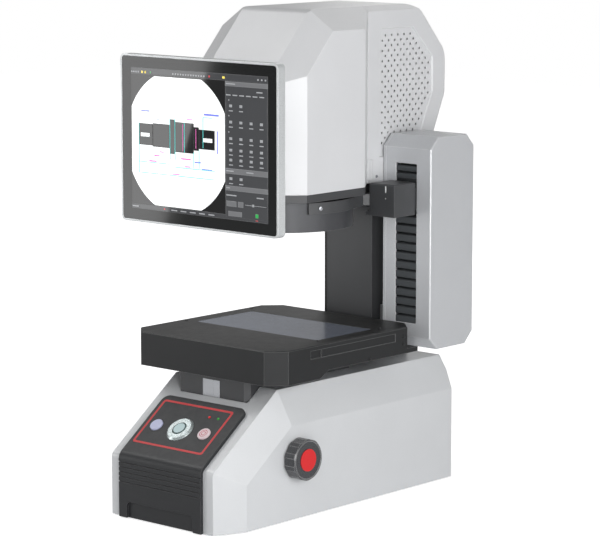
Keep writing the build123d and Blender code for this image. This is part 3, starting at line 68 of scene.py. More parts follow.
Sides = tuple[float, float, float, float]
Socket = bpy.types.NodeSocket
Piece = bpy.types.Object


def tone(red: int, green: int, blue: int) -> Colour:
    """Linear colour of a 0 to 255 display colour."""
    parts = (value / 255 for value in (red, green, blue))
    return tuple(v / 12.92 if v <= 0.04045 else ((v + 0.055) / 1.055) ** 2.4 for v in parts)


class Toward(Enum):
    """Directions in which a screw head, a cut or a plate looks."""

    RIGHT = Vector((1, 0, 0))
    LEFT = Vector((-1, 0, 0))
    FRONT = Vector((0, -1, 0))
    BACK = Vector((0, 1, 0))
    UP = Vector((0, 0, 1))
    DOWN = Vector((0, 0, -1))


class Part(Enum):
    """What is selected of a mesh; the values are the names of its lists."""

    FACE = "faces"
    EDGE = "edges"
    VERT = "verts"


class Tree:
    """Adds nodes to one node tree and joins them."""

    def __init__(self, tree: bpy.types.NodeTree) -> None:
        """Starts on a tree."""
        self.tree = tree

    def feed(self, socket: Socket, value: object) -> None:
        """Links or sets an input.

        Args:
            socket: The input.
            value: A number or colour, or the socket that feeds it.
        """
        if isinstance(value, Socket):
            self.tree.links.new(value, socket)
        else:
            socket.default_value = value

    def add(self, kind: str, inputs: Optional[dict] = None, **settings: object) -> bpy.types.Node:
        """Adds a node.

        Args:
            kind: The node's type name without its ShaderNode prefix.
            inputs: Input name or number to a value, or to the socket that feeds it.
            settings: The node's own properties.

        Returns:
            The new node.
        """
        node = self.tree.nodes.new("ShaderNode" + kind)
        for key, value in settings.items():
            setattr(node, key, value)
        for key, value in (inputs or {}).items():
            self.feed(node.inputs[key], value)
        return node

    def math(self, operation: str, first: object, second: object = 0.0) -> Socket:
        """Adds a math node and returns its result."""
        return self.add("Math", {0: first, 1: second}, operation=operation).outputs[0]

    def vector(self, operation: str, *inputs: Socket, result: str = "Vector") -> Socket:
        """Adds a vector math node and returns its vector or its value."""
        return self.add("VectorMath", dict(enumerate(inputs)), operation=operation).outputs[result]

    def blend(self, factor: object, first: object, second: object) -> Socket:
        """Mixes two colours.

        Args:
            factor: Share of the second colour.
            first: The first colour.
            second: The second colour.

        Returns:
            The mixed colour.
        """
        node = self.add("Mix", data_type="RGBA", clamp_factor=True)
        for key, value in ((0, factor), (6, first), (7, second)):
            self.feed(node.inputs[key], (*value, 1.0) if isinstance(value, tuple) else value)
        return node.outputs[2]

    def span(self, value: Socket, low: float, high: float, start: float = 0.0, end: float = 1.0) -> Socket:
        """Maps value from one range to another, held at its ends."""
        return self.add("MapRange", {0: value, 1: low, 2: high, 3: start, 4: end}).outputs[0]

    def place(self) -> Socket:
        """Object coordinates of the piece."""
        return self.add("TexCoord").outputs["Object"]

    def noise(self, place: Socket, scale: object, detail: float, roughness: float = 0.5) -> Socket:
        """Adds a noise and returns its value."""
        values = {"Vector": place, "Scale": scale, "Detail": detail, "Roughness": roughness}
        return self.add("TexNoise", values).outputs[0]


def emptied(owner: bpy.types.Material | bpy.types.World) -> Tree:
    """Clears the nodes of a material or world.

    Args:
        owner: The material or world.

    Returns:
        A start on its tree.
    """
    owner.use_nodes = True
    owner.node_tree.nodes.clear()
    return Tree(owner.node_tree)


class Effect(Tree):
    """Node group of an effect that several finishes share."""

    def __init__(self, name: str, inputs: Sequence[str], outputs: dict[str, str]) -> None:
        """Starts the group.

        Args:
            name: The group's name.
            inputs: Names of the numbers that it takes.
            outputs: Output name to its kind of socket, Float or Vector.
        """
        group = bpy.data.node_groups.new(name, "ShaderNodeTree")
        for key in inputs:
            group.interface.new_socket(key, in_out="INPUT", socket_type="NodeSocketFloat")
        for key, kind in outputs.items():
            group.interface.new_socket(key, in_out="OUTPUT", socket_type="NodeSocket" + kind)
        super().__init__(group)
        self.inward = group.nodes.new("NodeGroupInput")
        self.outward = group.nodes.new("NodeGroupOutput")

    def given(self, name: str) -> Socket:
        """An input of the group, as its own nodes see it."""
        return self.inward.outputs[name]

    def give(self, name: str, value: Socket) -> None:
        """Puts a result out of the group."""
        self.tree.links.new(value, self.outward.inputs[name])


def grain_effect() -> Effect:
    """Makes the fine even grain of powder coat and moulded plastic, and its broad patches.

    Returns:
        The effect, with Grain and Patch.
    """
    effect = Effect("grain", ["Scale"], {"Grain": "Float", "Patch": "Float"})
    place = effect.place()
    effect.give("Grain", effect.noise(place, effect.given("Scale"), 2.0))
    effect.give("Patch", effect.noise(place, 14.0, 3.0))
    return effect


def edge_effect() -> Effect:
    """Makes softened edges and the mask of the edge itself, where a highlight is painted.

    Returns:
        The effect, with Normal and Edge.
    """
    effect = Effect("soft_edge", ["Radius"], {"Normal": "Vector", "Edge": "Float"})
    rounded = effect.add("Bevel", {"Radius": effect.given("Radius")}, samples=6).outputs[0]
    sharp = effect.add("NewGeometry").outputs["True Normal"]
    likeness = effect.vector("DOT_PRODUCT", rounded, sharp, result="Value")
    effect.give("Normal", rounded)
    effect.give("Edge", effect.span(likeness, 0.995, 0.93))
    return effect


def dust_effect() -> Effect:
    """Makes thin dust on faces that look up.

    Returns:
        The effect, with Dust.
    """
    effect = Effect("dust", ["Amount"], {"Dust": "Float"})
    speckle = effect.noise(effect.place(), 60.0, 6.0, 0.7)
    up = effect.add("SeparateXYZ", {0: effect.add("NewGeometry").outputs["Normal"]}).outputs["Z"]
    spread = effect.math("MULTIPLY", effect.span(up, 0.6, 1.0), effect.span(speckle, 0.35, 0.75))
    effect.give("Dust", effect.math("MULTIPLY", spread, effect.given("Amount")))
    return effect


FINE_INPUTS = ("Fine X", "Fine Y", "Fine Z")
RING_INPUTS = ("Centre X", "Centre Y", "Centre Z", "Axis Y", "Axis Z", "Inner", "Outer")


def brushed_effect() -> Effect:
    """Makes the long fine lines of ground or brushed metal, along one axis of the piece.

    Returns:
        The effect, with Lines.
    """
    effect = Effect("brushed", FINE_INPUTS, {"Lines": "Float"})
    place = effect.place()
    scale = effect.add("CombineXYZ", {i: effect.given("Fine " + c) for i, c in enumerate("XYZ")})
    stretched = effect.vector("MULTIPLY", place, scale.outputs[0])
    effect.give("Lines", effect.noise(stretched, 1.0, 4.0, 0.6))
    return effect


def ring_effect() -> Effect:
    """Makes the mask of a ring around an axis in the YZ plane, for rings printed on a round face.

    Returns:
        The effect, with Ring.
    """
    effect = Effect("printed_ring", RING_INPUTS, {"Ring": "Float"})
    centre = effect.add("CombineXYZ", {i: effect.given("Centre " + c) for i, c in enumerate("XYZ")})
    axis = effect.add("CombineXYZ", {1: effect.given("Axis Y"), 2: effect.given("Axis Z")})
    away = effect.vector("SUBTRACT", effect.place(), centre.outputs[0])
    across = effect.vector("CROSS_PRODUCT", away, axis.outputs[0])
    radius = effect.vector("LENGTH", across, result="Value")
    beyond = effect.math("GREATER_THAN", radius, effect.given("Inner"))
    within = effect.math("LESS_THAN", radius, effect.given("Outer"))
    effect.give("Ring", effect.math("MULTIPLY", beyond, within))
    return effect


GRAIN = grain_effect().tree
EDGE = edge_effect().tree
DUST = dust_effect().tree
BRUSHED = brushed_effect().tree
RING = ring_effect().tree
DUST_COLOUR = (0.62, 0.6, 0.56)
MATERIALS: dict[str, bpy.types.Material] = {}


@dataclass(frozen=True)
class Finish:
    """A surface: its colour, gloss, grain, soft edges with a painted highlight, and dust."""

    name: str
    colour: Colour
    roughness: float = 0.45
    metallic: float = 0.0
    specular: float = 0.5
    coat: float = 0.0
    coat_roughness: float = 0.15
    grain_scale: float = 900.0
    grain_height: float = 0.00002
    patch_depth: float = 0.04
    edge_radius: float = 0.0012
    # How strongly the colour is lightened along edges: a painted highlight.
    painted_edge_highlight: float = 0.12
    dust: float = 0.06
    glow: float = 0.0
    brushed: Optional[Colour] = None
    rings: tuple = ()

    def material(self) -> bpy.types.Material:
        """Gives the finish's material, which is built once.

        Returns:
            The material.
        """
        if self.name not in MATERIALS:
            MATERIALS[self.name] = self.mixed()
        return MATERIALS[self.name]

    def pattern(self, tree: Tree, grain: bpy.types.Node, edge: bpy.types.Node) -> Socket:
        """Adds the nodes of the surface's colour.

        Args:
            tree: The material's tree.
            grain: Its grain group.
            edge: Its soft edge group.

        Returns:
            The colour with its patches, printed rings, painted edge highlights and dust.
        """
        dark = tuple(c * (1 - self.patch_depth) for c in self.colour)
        light = tuple(min(1.0, c * (1 + self.patch_depth)) for c in self.colour)
        colour = tree.blend(tree.span(grain.outputs["Patch"], 0.35, 0.65), dark, light)
        for ring in self.rings:
            mask = tree.add("Group", dict(zip(RING_INPUTS, ring)), node_tree=RING)
            colour = tree.blend(mask.outputs["Ring"], colour, ring[-1])
        # Painted highlight: along edges the colour is mixed towards a half-white copy of itself, scaled by
        # the edge mask.
        lit = tuple(c + (1 - c) * 0.5 for c in self.colour)
        colour = tree.blend(tree.math("MULTIPLY", edge.outputs["Edge"], self.painted_edge_highlight), colour, lit)
        dust = tree.add("Group", {"Amount": self.dust}, node_tree=DUST)
        return tree.blend(dust.outputs["Dust"], colour, DUST_COLOUR)

    def mixed(self) -> bpy.types.Material:
        """Builds the material with its nodes.

        Returns:
            The new material.
        """
        made = bpy.data.materials.new("finish_" + self.name)
        tree = emptied(made)
        grain = tree.add("Group", {"Scale": self.grain_scale}, node_tree=GRAIN)
        edge = tree.add("Group", {"Radius": self.edge_radius}, node_tree=EDGE)
        colour = self.pattern(tree, grain, edge)
        texture = grain.outputs["Grain"]
        spread = min(0.05, self.roughness * 0.4)
        if self.brushed:
            fine = dict(zip(FINE_INPUTS, self.brushed))
            texture = tree.add("Group", fine, node_tree=BRUSHED).outputs["Lines"]
            spread = 0.1
        relief = {
            "Strength": 0.5,
            "Distance": self.grain_height,
            "Height": texture,
            "Normal": edge.outputs["Normal"],
        }
        inputs = {
            "Base Color": colour,
            "Roughness": tree.span(texture, 0.3, 0.7, self.roughness - spread, self.roughness + spread),
            "Normal": tree.add("Bump", relief).outputs[0],
            "Metallic": self.metallic,
            "Specular IOR Level": self.specular,
            "Coat Weight": self.coat,
            "Coat Roughness": self.coat_roughness,
        }
        if self.glow:
            inputs |= {"Emission Color": colour, "Emission Strength": self.glow}
        surface = tree.add("BsdfPrincipled", inputs)
        tree.add("OutputMaterial", {0: surface.outputs[0]})
        return made


@dataclass(frozen=True)
class ControlPanel:
    """Slope of the control panel, from its bend at the front upwards."""

    bend_y: float = -0.296
    bend_z: float = 0.104
    run: float = 0.153
    rise: float = 0.114
    thick: float = 0.006

    def ring(self, across: float, along: float, inner: float, outer: float, colour: Colour) -> tuple:
        """Places a ring that is printed on a button's face.

        Args:
            across: The button's place along X.
            along: Its distance up the slope from the bend.
            inner: The ring's inner radius.
            outer: Its outer radius.
            colour: Its colour.

        Returns:
            The values of RING_INPUTS and the colour.
        """
        slope = math.atan2(self.rise, self.run)
        y = self.bend_y + along * math.cos(slope) - self.thick * math.sin(slope)
        z = self.bend_z + along * math.sin(slope) + self.thick * math.cos(slope)
        return (across, y, z, -math.sin(slope), math.cos(slope), inner, outer, colour)


def display(name: str, colour: Colour, glow: float = 0.7, patch_depth: float = 0.0) -> Finish:
    """Finish of a lit patch of the display."""
    smooth = Finish("display_" + name, colour, 0.03, grain_height=0.0, dust=0.0)
    return replace(smooth, patch_depth=patch_depth, glow=glow)


PRINT = ControlPanel()
WHITE = Finish(
    "white_powder_coat", tone(214, 216, 218), 0.32, specular=0.7, coat=0.35, coat_roughness=0.3,
    grain_scale=1500, edge_radius=0.0016, painted_edge_highlight=0.5, patch_depth=0.01,
)
HEAD_WHITE = replace(WHITE, name="white_head_coat", colour=tone(216, 217, 219), edge_radius=0.002)
DARK = Finish(
    "dark_cast_paint", tone(66, 67, 69), 0.42, grain_scale=1300, grain_height=0.00004,
    edge_radius=0.001,
)
STAGE = Finish("stage_paint", tone(36, 37, 38), 0.46, specular=0.3, grain_scale=1600, painted_edge_highlight=0.3)
PANEL = Finish(
    "panel_film", tone(48, 49, 51), 0.4, specular=0.3, grain_scale=2600, grain_height=0.000008,
    edge_radius=0.0008,
)
RED_LINE = Finish("red_inlay", tone(205, 40, 44), 0.4, edge_radius=0.0003, dust=0.0)
SILVER = Finish(
    "silver_paint", tone(196, 198, 201), 0.3, metallic=0.12, specular=0.8, coat=0.3, grain_scale=2200,
    edge_radius=0.0016, painted_edge_highlight=1.0, patch_depth=0.01,
)
MONITOR = Finish(
    "monitor_silver", tone(206, 209, 210), 0.3, metallic=0.3, grain_scale=2400, edge_radius=0.0015,
    painted_edge_highlight=0.6,
)
BEZEL_GLASS = Finish(
    "screen_glass", tone(18, 20, 20), 0.07, specular=0.4, grain_height=0.0, patch_depth=0.01,
    edge_radius=0.0004, dust=0.02,
)
STEEL = Finish(
    "ground_steel", tone(178, 180, 184), 0.26, metallic=1.0, brushed=(60.0, 900.0, 900.0),
    edge_radius=0.0005,
)
STRIP = Finish(
    "bright_strip", tone(178, 180, 184), 0.34, metallic=0.8, brushed=(500.0, 500.0, 12.0),
    edge_radius=0.0004,
)
ALUMINIUM = Finish(
    "clear_anodised", tone(176, 178, 182), 0.36, metallic=1.0, brushed=(900.0, 40.0, 900.0),
    edge_radius=0.0006,
)
LENS_BLACK = Finish(
    "black_anodised", tone(34, 34, 37), 0.4, metallic=0.4, grain_scale=3000, edge_radius=0.0008,
    painted_edge_highlight=0.3,
)
RING_BLACK = Finish(
    "ring_anodised", tone(70, 71, 74), 0.4, metallic=0.25, grain_scale=2600, edge_radius=0.001,
    painted_edge_highlight=0.25,
)
RUBBER = Finish(
    "foot_rubber", tone(30, 30, 31), 0.75, grain_scale=1200, grain_height=0.00006, edge_radius=0.001,
)
BLACK_PLASTIC = Finish("black_moulding", tone(26, 26, 28), 0.5, grain_scale=1800, grain_height=0.00003)
KNOB = Finish(
    "knob_moulding", tone(58, 59, 62), 0.28, coat=0.3, grain_scale=1800, grain_height=0.00003,
    edge_radius=0.0014, painted_edge_highlight=0.7,
)
KNOB_RED = Finish("knob_red_disc", tone(222, 12, 20), 0.32, coat=0.3, edge_radius=0.0006)
BELLOWS = Finish(
    "bellows_cloth", tone(66, 70, 73), 0.6, grain_scale=3200, grain_height=0.00008, edge_radius=0.0006,
    painted_edge_highlight=0.05,
)
DIFFUSER = Finish("frosted_diffuser", tone(236, 238, 238), 0.6, grain_scale=1200, edge_radius=0.0004)
LAMP_RED = Finish("red_lamp", tone(215, 30, 34), 0.2, glow=0.15, edge_radius=0.0003)
LAMP_GREEN = Finish("green_lamp", tone(40, 150, 46), 0.2, glow=0.15, edge_radius=0.0003)
BEZEL_RING = Finish(
    "satin_bezel", tone(198, 208, 208), 0.28, metallic=0.7, coat=0.3, edge_radius=0.0008,
    painted_edge_highlight=0.3,
)
LEFT_BUTTON = Finish("pale_blue_button", tone(202, 206, 236), 0.35, coat=0.3, edge_radius=0.0008)
MEASURE_BUTTON = Finish(
    "measure_button", tone(196, 220, 222), 0.32, coat=0.3, edge_radius=0.0008,
    rings=(PRINT.ring(-0.0075, 0.0695, 0.0104, 0.0126, tone(52, 84, 84)),),
)
RIGHT_BUTTON = Finish(
    "stop_button", tone(236, 214, 218), 0.35, coat=0.3, edge_radius=0.0008,
    rings=tuple(
        PRINT.ring(0.0465, 0.0695, inner, inner + 0.0012, tone(206, 96, 110)) for inner in (0.003, 0.0062)
    ),
)
STAGE_GLASS = Finish(
    "stage_glass", tone(116, 124, 141), 0.22, coat=0.15, coat_roughness=0.12, grain_height=0.0,
    patch_depth=0.02, edge_radius=0.0005,
)
LENS_GLASS = Finish(
    "coated_lens", tone(38, 44, 66), 0.05, specular=1.0, coat=1.0, coat_roughness=0.02,
    grain_height=0.0, edge_radius=0.0008,
)
MARK_WHITE = Finish("white_mark", tone(226, 228, 226), 0.4, edge_radius=0.0002)
SOCKET_DARK = Finish(
    "screw_black", tone(30, 31, 33), 0.34, metallic=0.6, edge_radius=0.0003, painted_edge_highlight=0.4,
)
DISPLAY_BLACK = display("black", tone(12, 12, 13), 0.5, 0.01)
DISPLAY_WHITE = display("white", tone(246, 248, 248), 0.55)
DISPLAY_PANEL = display("panel", tone(56, 57, 59), 0.7, 0.01)
DISPLAY_BAR = display("bar", tone(98, 99, 101), 0.7, 0.01)
DISPLAY_MARK = display("mark", tone(142, 144, 147), 0.6, 0.01)
DISPLAY_SHAFT = display("shaft", tone(20, 21, 22), 0.3, 0.01)
DISPLAY_CYAN = display("cyan", tone(54, 196, 190))
DISPLAY_PINK = display("pink", tone(216, 84, 170))
DISPLAY_BLUE = display("blue", tone(112, 120, 236))
DISPLAY_YELLOW = display("yellow", tone(232, 210, 90))
DISPLAY_RED = display("red", tone(190, 50, 54))
DISPLAY_GREEN = display("green", tone(40, 150, 70))

FINISHED_NODES: dict[Finish, tuple[str, ...]] = {
    WHITE: ("base_housing",),
    HEAD_WHITE: ("head_housing", "rear_cover", "vent_panels"),
    DARK: (
        "lift_pillar", "column", "head_plate", "joint_frame", "lift_block", "ring_clamp",
        "monitor_bracket",
    ),
    STAGE: ("stage_cover",),
    STAGE_GLASS: ("stage_glass",),
    PANEL: ("front_panel",),
    RED_LINE: ("panel_outline",),
    LEFT_BUTTON: ("left_button",),
    RIGHT_BUTTON: ("right_button",),
    MEASURE_BUTTON: ("measure_button",),
    BEZEL_RING: ("measure_button_bezel",),
    LAMP_RED: ("red_lamp",),
    LAMP_GREEN: ("green_lamp",),
    KNOB: ("focus_knob",),
    KNOB_RED: ("knob_cap",),
    STRIP: ("guide_strip",),
    RUBBER: ("levelling_feet",),
    BLACK_PLASTIC: ("column_side_cover", "power_inlet", "power_switch"),
    ALUMINIUM: ("stage_base", "stage_saddle", "power_and_control"),
    LENS_BLACK: ("backlight_lens", "lens_barrel", "lens_camera"),
    LENS_GLASS: ("lens_front_glass",),
    SILVER: ("lift_housing", "lift_mount"),
    RING_BLACK: ("ring_housing",),
    DIFFUSER: ("ring_diffuser",),
    MONITOR: ("monitor_frame",),
    BEZEL_GLASS: ("screen_glass",),
    STEEL: (
        "base_plate", "pinion_shaft", "knob_bush", "lift_rack", "lift_guide", "lift_guide_blocks",
        "y_rails", "y_screw", "saddle_runners", "saddle_nuts", "x_rails", "x_screw", "ring_lift_rail",
        "ring_lift_drive", "lift_runner",
    ),
}


def deselect() -> None:
    """Leaves nothing selected."""
    for thing in bpy.context.selected_objects:
        thing.select_set(False)


def take(piece: Piece) -> None:
    """Selects one piece alone and makes it the active one.

    Args:
        piece: The piece.
    """
    deselect()
    piece.select_set(True)
    bpy.context.view_layer.objects.active = piece


def settle(piece: Piece) -> None:
    """Puts a piece's place, turn and size into its mesh."""
    take(piece)
    bpy.ops.object.transform_apply(location=True, rotation=True, scale=True)


def edit(piece: Piece, part: Part = Part.FACE) -> None:
    """Opens a piece in edit mode with nothing selected.

    Args:
        piece: The piece.
        part: What is selected next.
    """
    take(piece)
    bpy.ops.object.mode_set(mode="EDIT")
    bpy.ops.mesh.select_mode(type=part.name)
    bpy.ops.mesh.select_all(action="DESELECT")


def leave() -> None:
    """Goes back to object mode."""
    bpy.ops.object.mode_set(mode="OBJECT")


def pick_all() -> None:
    """Selects all that is in edit mode."""
    bpy.ops.mesh.select_all(action="SELECT")


def pick(piece: Piece, part: Part, test: Callable[[object], bool]) -> None:
    """Selects some of a piece's mesh in edit mode and drops the rest.

    Args:
        piece: The piece.
        part: What is selected.
        test: Whether one of them is selected.
    """
    mesh = bmesh.from_edit_mesh(piece.data)
    for thing in getattr(mesh, part.value):
        thing.select_set(test(thing))
    bmesh.update_edit_mesh(piece.data)


def pick_faces(piece: Piece, test: Callable[[Vector, Vector], bool]) -> None:
    """Selects the faces whose centre and normal pass a test, in edit mode."""
    pick(piece, Part.FACE, lambda face: test(face.calc_center_median(), face.normal))


def pick_level(piece: Piece, height: float) -> None:
    """Selects the edges along X at one height, in edit mode."""
    pick(piece, Part.EDGE, lambda edge: all(abs(v.co.z - height) < SAME for v in edge.verts))


def pick_side(piece: Piece, way: Vector) -> None:
    """Selects the flat faces that look one way, in edit mode."""
    pick_faces(piece, lambda _, normal: normal.dot(way) > FACING)


def sink(inset: float, move: Sequence[float]) -> None:
    """Insets the selected faces and moves the inner ones."""
    bpy.ops.mesh.inset(thickness=inset)
    bpy.ops.mesh.extrude_region_move(TRANSFORM_OT_translate={"value": move})


def solid(piece: Piece, thickness: float, offset: float) -> Piece:
    """Gives an open sheet its thickness.

    Args:
        piece: The sheet.
        thickness: How thick it gets.
        offset: On which side of the sheet, from -1 to 1.

    Returns:
        The piece.
    """
    wall = piece.modifiers.new("thickness", "SOLIDIFY")
    wall.thickness = thickness
    wall.offset = offset
    bpy.ops.object.modifier_apply(modifier=wall.name)
    return piece


def added(name: str) -> Piece:
    """Names the primitive that was just added."""
    bpy.context.active_object.name = name
    return bpy.context.active_object


def copied(piece: Piece) -> Piece:
    """Copies a piece with a mesh of its own.

    Args:
        piece: The piece.

    Returns:
        The copy.
    """
    copy = piece.copy()
    copy.data = piece.data.copy()
    bpy.context.collection.objects.link(copy)
    return copy


def block(name: str, low: Sequence[float], high: Sequence[float], bevel: float = 0.0) -> Piece:
    """Makes a box between two corners with its edges rounded.

    Args:
        name: The piece's name.
        low: Lowest corner.
        high: Highest corner.
        bevel: Width of the rounding.

    Returns:
        The piece, with its place in its mesh.
    """
    deselect()
    bpy.ops.mesh.primitive_cube_add(size=1, location=[(a + b) / 2 for a, b in zip(low, high)])
    piece = added(name)
    piece.scale = [b - a for a, b in zip(low, high)]
    settle(piece)
    if bevel:
        edit(piece, Part.EDGE)
        pick_all()
        bpy.ops.mesh.bevel(offset=bevel, segments=BEVEL_STEPS, affect="EDGES")
        leave()
    return piece


def turned(name: str, centre: Point, radius: float, height: float, axis: Vector) -> Piece:
    """Makes a round piece.

    Args:
        name: The piece's name.
        centre: Middle of the end that it stands on.
        radius: Its radius.
        height: How far it reaches along axis.
        axis: Its direction.

    Returns:
        The piece, with its place in its mesh.
    """
    deselect()
    direction = axis.normalized()
    bpy.ops.mesh.primitive_cylinder_add(
        vertices=ROUND_SIDES,
        radius=radius,
        depth=height,
        location=Vector(centre) + direction * height / 2,
        rotation=direction.to_track_quat("Z", "Y").to_euler(),
    )
    piece = added(name)
    settle(piece)
    return piece


def dress(
    piece: Piece, finish: Finish, body: Optional[str] = None, replaces: Sequence[str] = ()
) -> None:
    """Gives a piece its finish, shading and body, and reports it.

    Args:
        piece: The piece, with its place in its mesh.
        finish: What its surface is.
        body: The CAD body that it rides on, or None where it is left unattached.
        replaces: CAD nodes that it stands for.
    """
    settle(piece)
    piece.data.materials.clear()
    piece.data.materials.append(finish.material())
    bpy.ops.object.shade_smooth_by_angle(angle=SMOOTH_UNDER)
    if body:
        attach(piece, body)
    if replaces:
        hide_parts(*replaces)
    log.info("%s: %d faces on %s", piece.name, len(piece.data.polygons), body or "a blend")


def join(name: str, pieces: Sequence[Piece]) -> Piece:
    """Joins pieces into one.

    Args:
        name: The joined piece's name.
        pieces: The pieces; the first one keeps its object.

    Returns:
        The joined piece.
    """
    take(pieces[0])
    for piece in pieces[1:]:
        piece.select_set(True)
    bpy.ops.object.join()
    pieces[0].name = name
    return pieces[0]


@dataclass
class CapScrew:
    """Socket-head screw: a chamfered head with a round socket."""

    radius: float = 0.0026
    height: float = 0.0012
    socket: float = 0.5
    socket_depth: float = 0.7
    chamfer: float = 0.25
    reach: float = 1e-5

    def build(self, name: str, place: Point, axis: Vector) -> Piece:
        """Makes one screw head.

        Args:
            name: The piece's name.
            place: Middle of the end that it stands on.
            axis: Where the head looks.

        Returns:
            The head.
        """
        head = turned(name, place, self.radius, self.height, axis)
        way = axis.normalized()
        top = Vector(place).dot(way) + self.height
        edit(head)

        def on_top(centre: Vector, normal: Vector) -> bool:
            """Whether a face is the head's flat top."""
            return normal.dot(way) > FACING and abs(centre.dot(way) - top) < self.reach

        pick_faces(head, on_top)
        bpy.ops.mesh.bevel(offset=self.height * self.chamfer, segments=BEVEL_STEPS, affect="EDGES")
        pick_faces(head, on_top)
        sink(self.radius * (1 - self.socket), -way * self.height * self.socket_depth)
        leave()
        return head

    def row(self, name: str, places: Sequence[Point], axis: Vector) -> Piece:
        """Makes one screw and copies it to every place.

        Args:
            name: The joined piece's name.
            places: Where the screws stand.
            axis: Where the heads look.

        Returns:
            The joined piece.
        """
        screws = [self.build(name, places[0], axis)]
        for place in places[1:]:
            screw = copied(screws[0])
            screw.location = Vector(place) - Vector(places[0])
            settle(screw)
            screws.append(screw)
        return join(name, screws)


@dataclass
class Housings:
    """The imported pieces, each with the finish of its own surface."""

    finished: dict[Finish, tuple[str, ...]] = field(default_factory=lambda: FINISHED_NODES)

    def build(self) -> None:
        """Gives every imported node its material."""
        finishes = {name: finish for finish, names in self.finished.items() for name in names}
        for name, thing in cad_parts.items():
            if name in finishes:
                thing.data.materials.clear()
                thing.data.materials.append(finishes[name].material())
                log.info("%s: %s", name, finishes[name].name)


@dataclass
class Bellows:
    """Pleated cloth covers in the slot, which open and close with the carriage.

    The shares say how much of a fold's height each of its strips takes, from the seam upwards.
    """

    left: float = 0.1153
    right: float = 0.1592
    front: float = 0.16
    depth: float = 0.012
    pitch: float = 0.0152
    sheet: float = 0.0008
    lip: float = 0.0012
    seam_share: float = 0.12
    face_share: float = 0.5
    lip_share: float = 0.04
    slant_share: float = 0.06
    back_share: float = 0.22
    packed: int = 8
    packed_pitch: float = 0.0006
    packed_sheet: float = 0.00002
    opened: int = 2

    def pleats(self, name: str, low: float, pitches: Sequence[float], sheet: float) -> Piece:
        """Folds one cloth upwards from a height by extruding its upper edge again and again.

        Args:
            name: The new piece's name.
            low: Height of its lower end.
            pitches: The height of each fold, from the lowest up.
            sheet: Thickness of the cloth.

        Returns:
            The folded cloth.
        """
        lead = pitches[0] * self.seam_share
        deselect()
        bpy.ops.mesh.primitive_plane_add(size=1, rotation=(math.pi / 2, 0, 0))
        cloth = added(name)
        cloth.scale = (self.right - self.left, lead, 1)
        cloth.location = ((self.left + self.right) / 2, self.front, low + lead / 2)
        settle(cloth)
        edit(cloth, Part.EDGE)
        height = low + lead
        for pitch, following in zip(pitches, [*pitches[1:], 0.0]):
            moves = [
                (0.0, self.face_share * pitch),
                (self.lip, self.lip_share * pitch),
                (self.depth - self.lip, self.slant_share * pitch),
                (0.0, self.back_share * pitch),
                (-self.depth, self.slant_share * pitch),
                (0.0, self.seam_share * following),
            ]
            for inward, up in moves if following else moves[:4]:
                pick_level(cloth, height)
                bpy.ops.mesh.extrude_edges_move(TRANSFORM_OT_translate={"value": (0, inward, up)})
                height += up
        pick_all()
        bpy.ops.mesh.remove_doubles(threshold=SAME)
        leave()
        return solid(cloth, sheet, 1.0)

    def build(self) -> None:
        """Makes both covers in place of the plain ones."""
        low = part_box("lower_bellows")
        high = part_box("upper_bellows")
        folds = round((low[1].z - low[0].z) / self.pitch)
        pitches = [(low[1].z - low[0].z) / folds] * folds
        lower = self.pleats("pleated_lower", low[0].z, pitches, self.sheet)
        dress(lower, BELLOWS, None, ["lower_bellows"])
        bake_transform(lower)
        stack = high[0].z + self.packed * self.packed_pitch
        pitches = [self.packed_pitch] * self.packed + [(high[1].z - stack) / self.opened] * self.opened
        upper = self.pleats("pleated_upper", high[0].z, pitches, self.packed_sheet)
        dress(upper, BELLOWS, None, ["upper_bellows"])
        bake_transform(upper)


@dataclass
class Tile:
    """Thin bevelled plate of the display, copied to every place of a drawing."""

    face: float = -0.207
    layer_step: float = 0.00012
    border: float = 0.02
    crown: float = 0.2

    def build(self, name: str, places: Sequence[Sides], layer: int) -> Piece:
        """Makes one plate and copies it to every place.

        Args:
            name: The joined piece's name.
            places: Left, right, lower and upper sides of each copy, in metres.
            layer: How many steps the plates stand in front of the glass.

        Returns:
            The joined piece.
        """
        unit = block(name, (-0.5, -0.5, -0.5), (0.5, 0.5, 0.5))
        edit(unit)
        pick_side(unit, Toward.FRONT.value)
        sink(self.border, (0, -self.crown, 0))
        leave()
        plates = []
        thick = self.layer_step * layer
        for left, right, low, high in places:
            plate = copied(unit)
            plate.location = ((left + right) / 2, self.face - thick / 2, (low + high) / 2)
            plate.scale = (right - left, thick / (1 + self.crown), high - low)
            settle(plate)
            plates.append(plate)
        bpy.data.objects.remove(unit)
        return join(name, plates)


def drawn(*places: tuple[int, int, int, int]) -> list[Sides]:
    """Sides of plates in metres, from tenths of a millimetre."""
    return [tuple(side / 10000 for side in place) for place in places]


def run(start: float, pitch: float, count: int, width: float, low: float, high: float) -> list[Sides]:
    """Sides of equal marks that stand side by side."""
    return [(start + i * pitch, start + i * pitch + width, low, high) for i in range(count)]


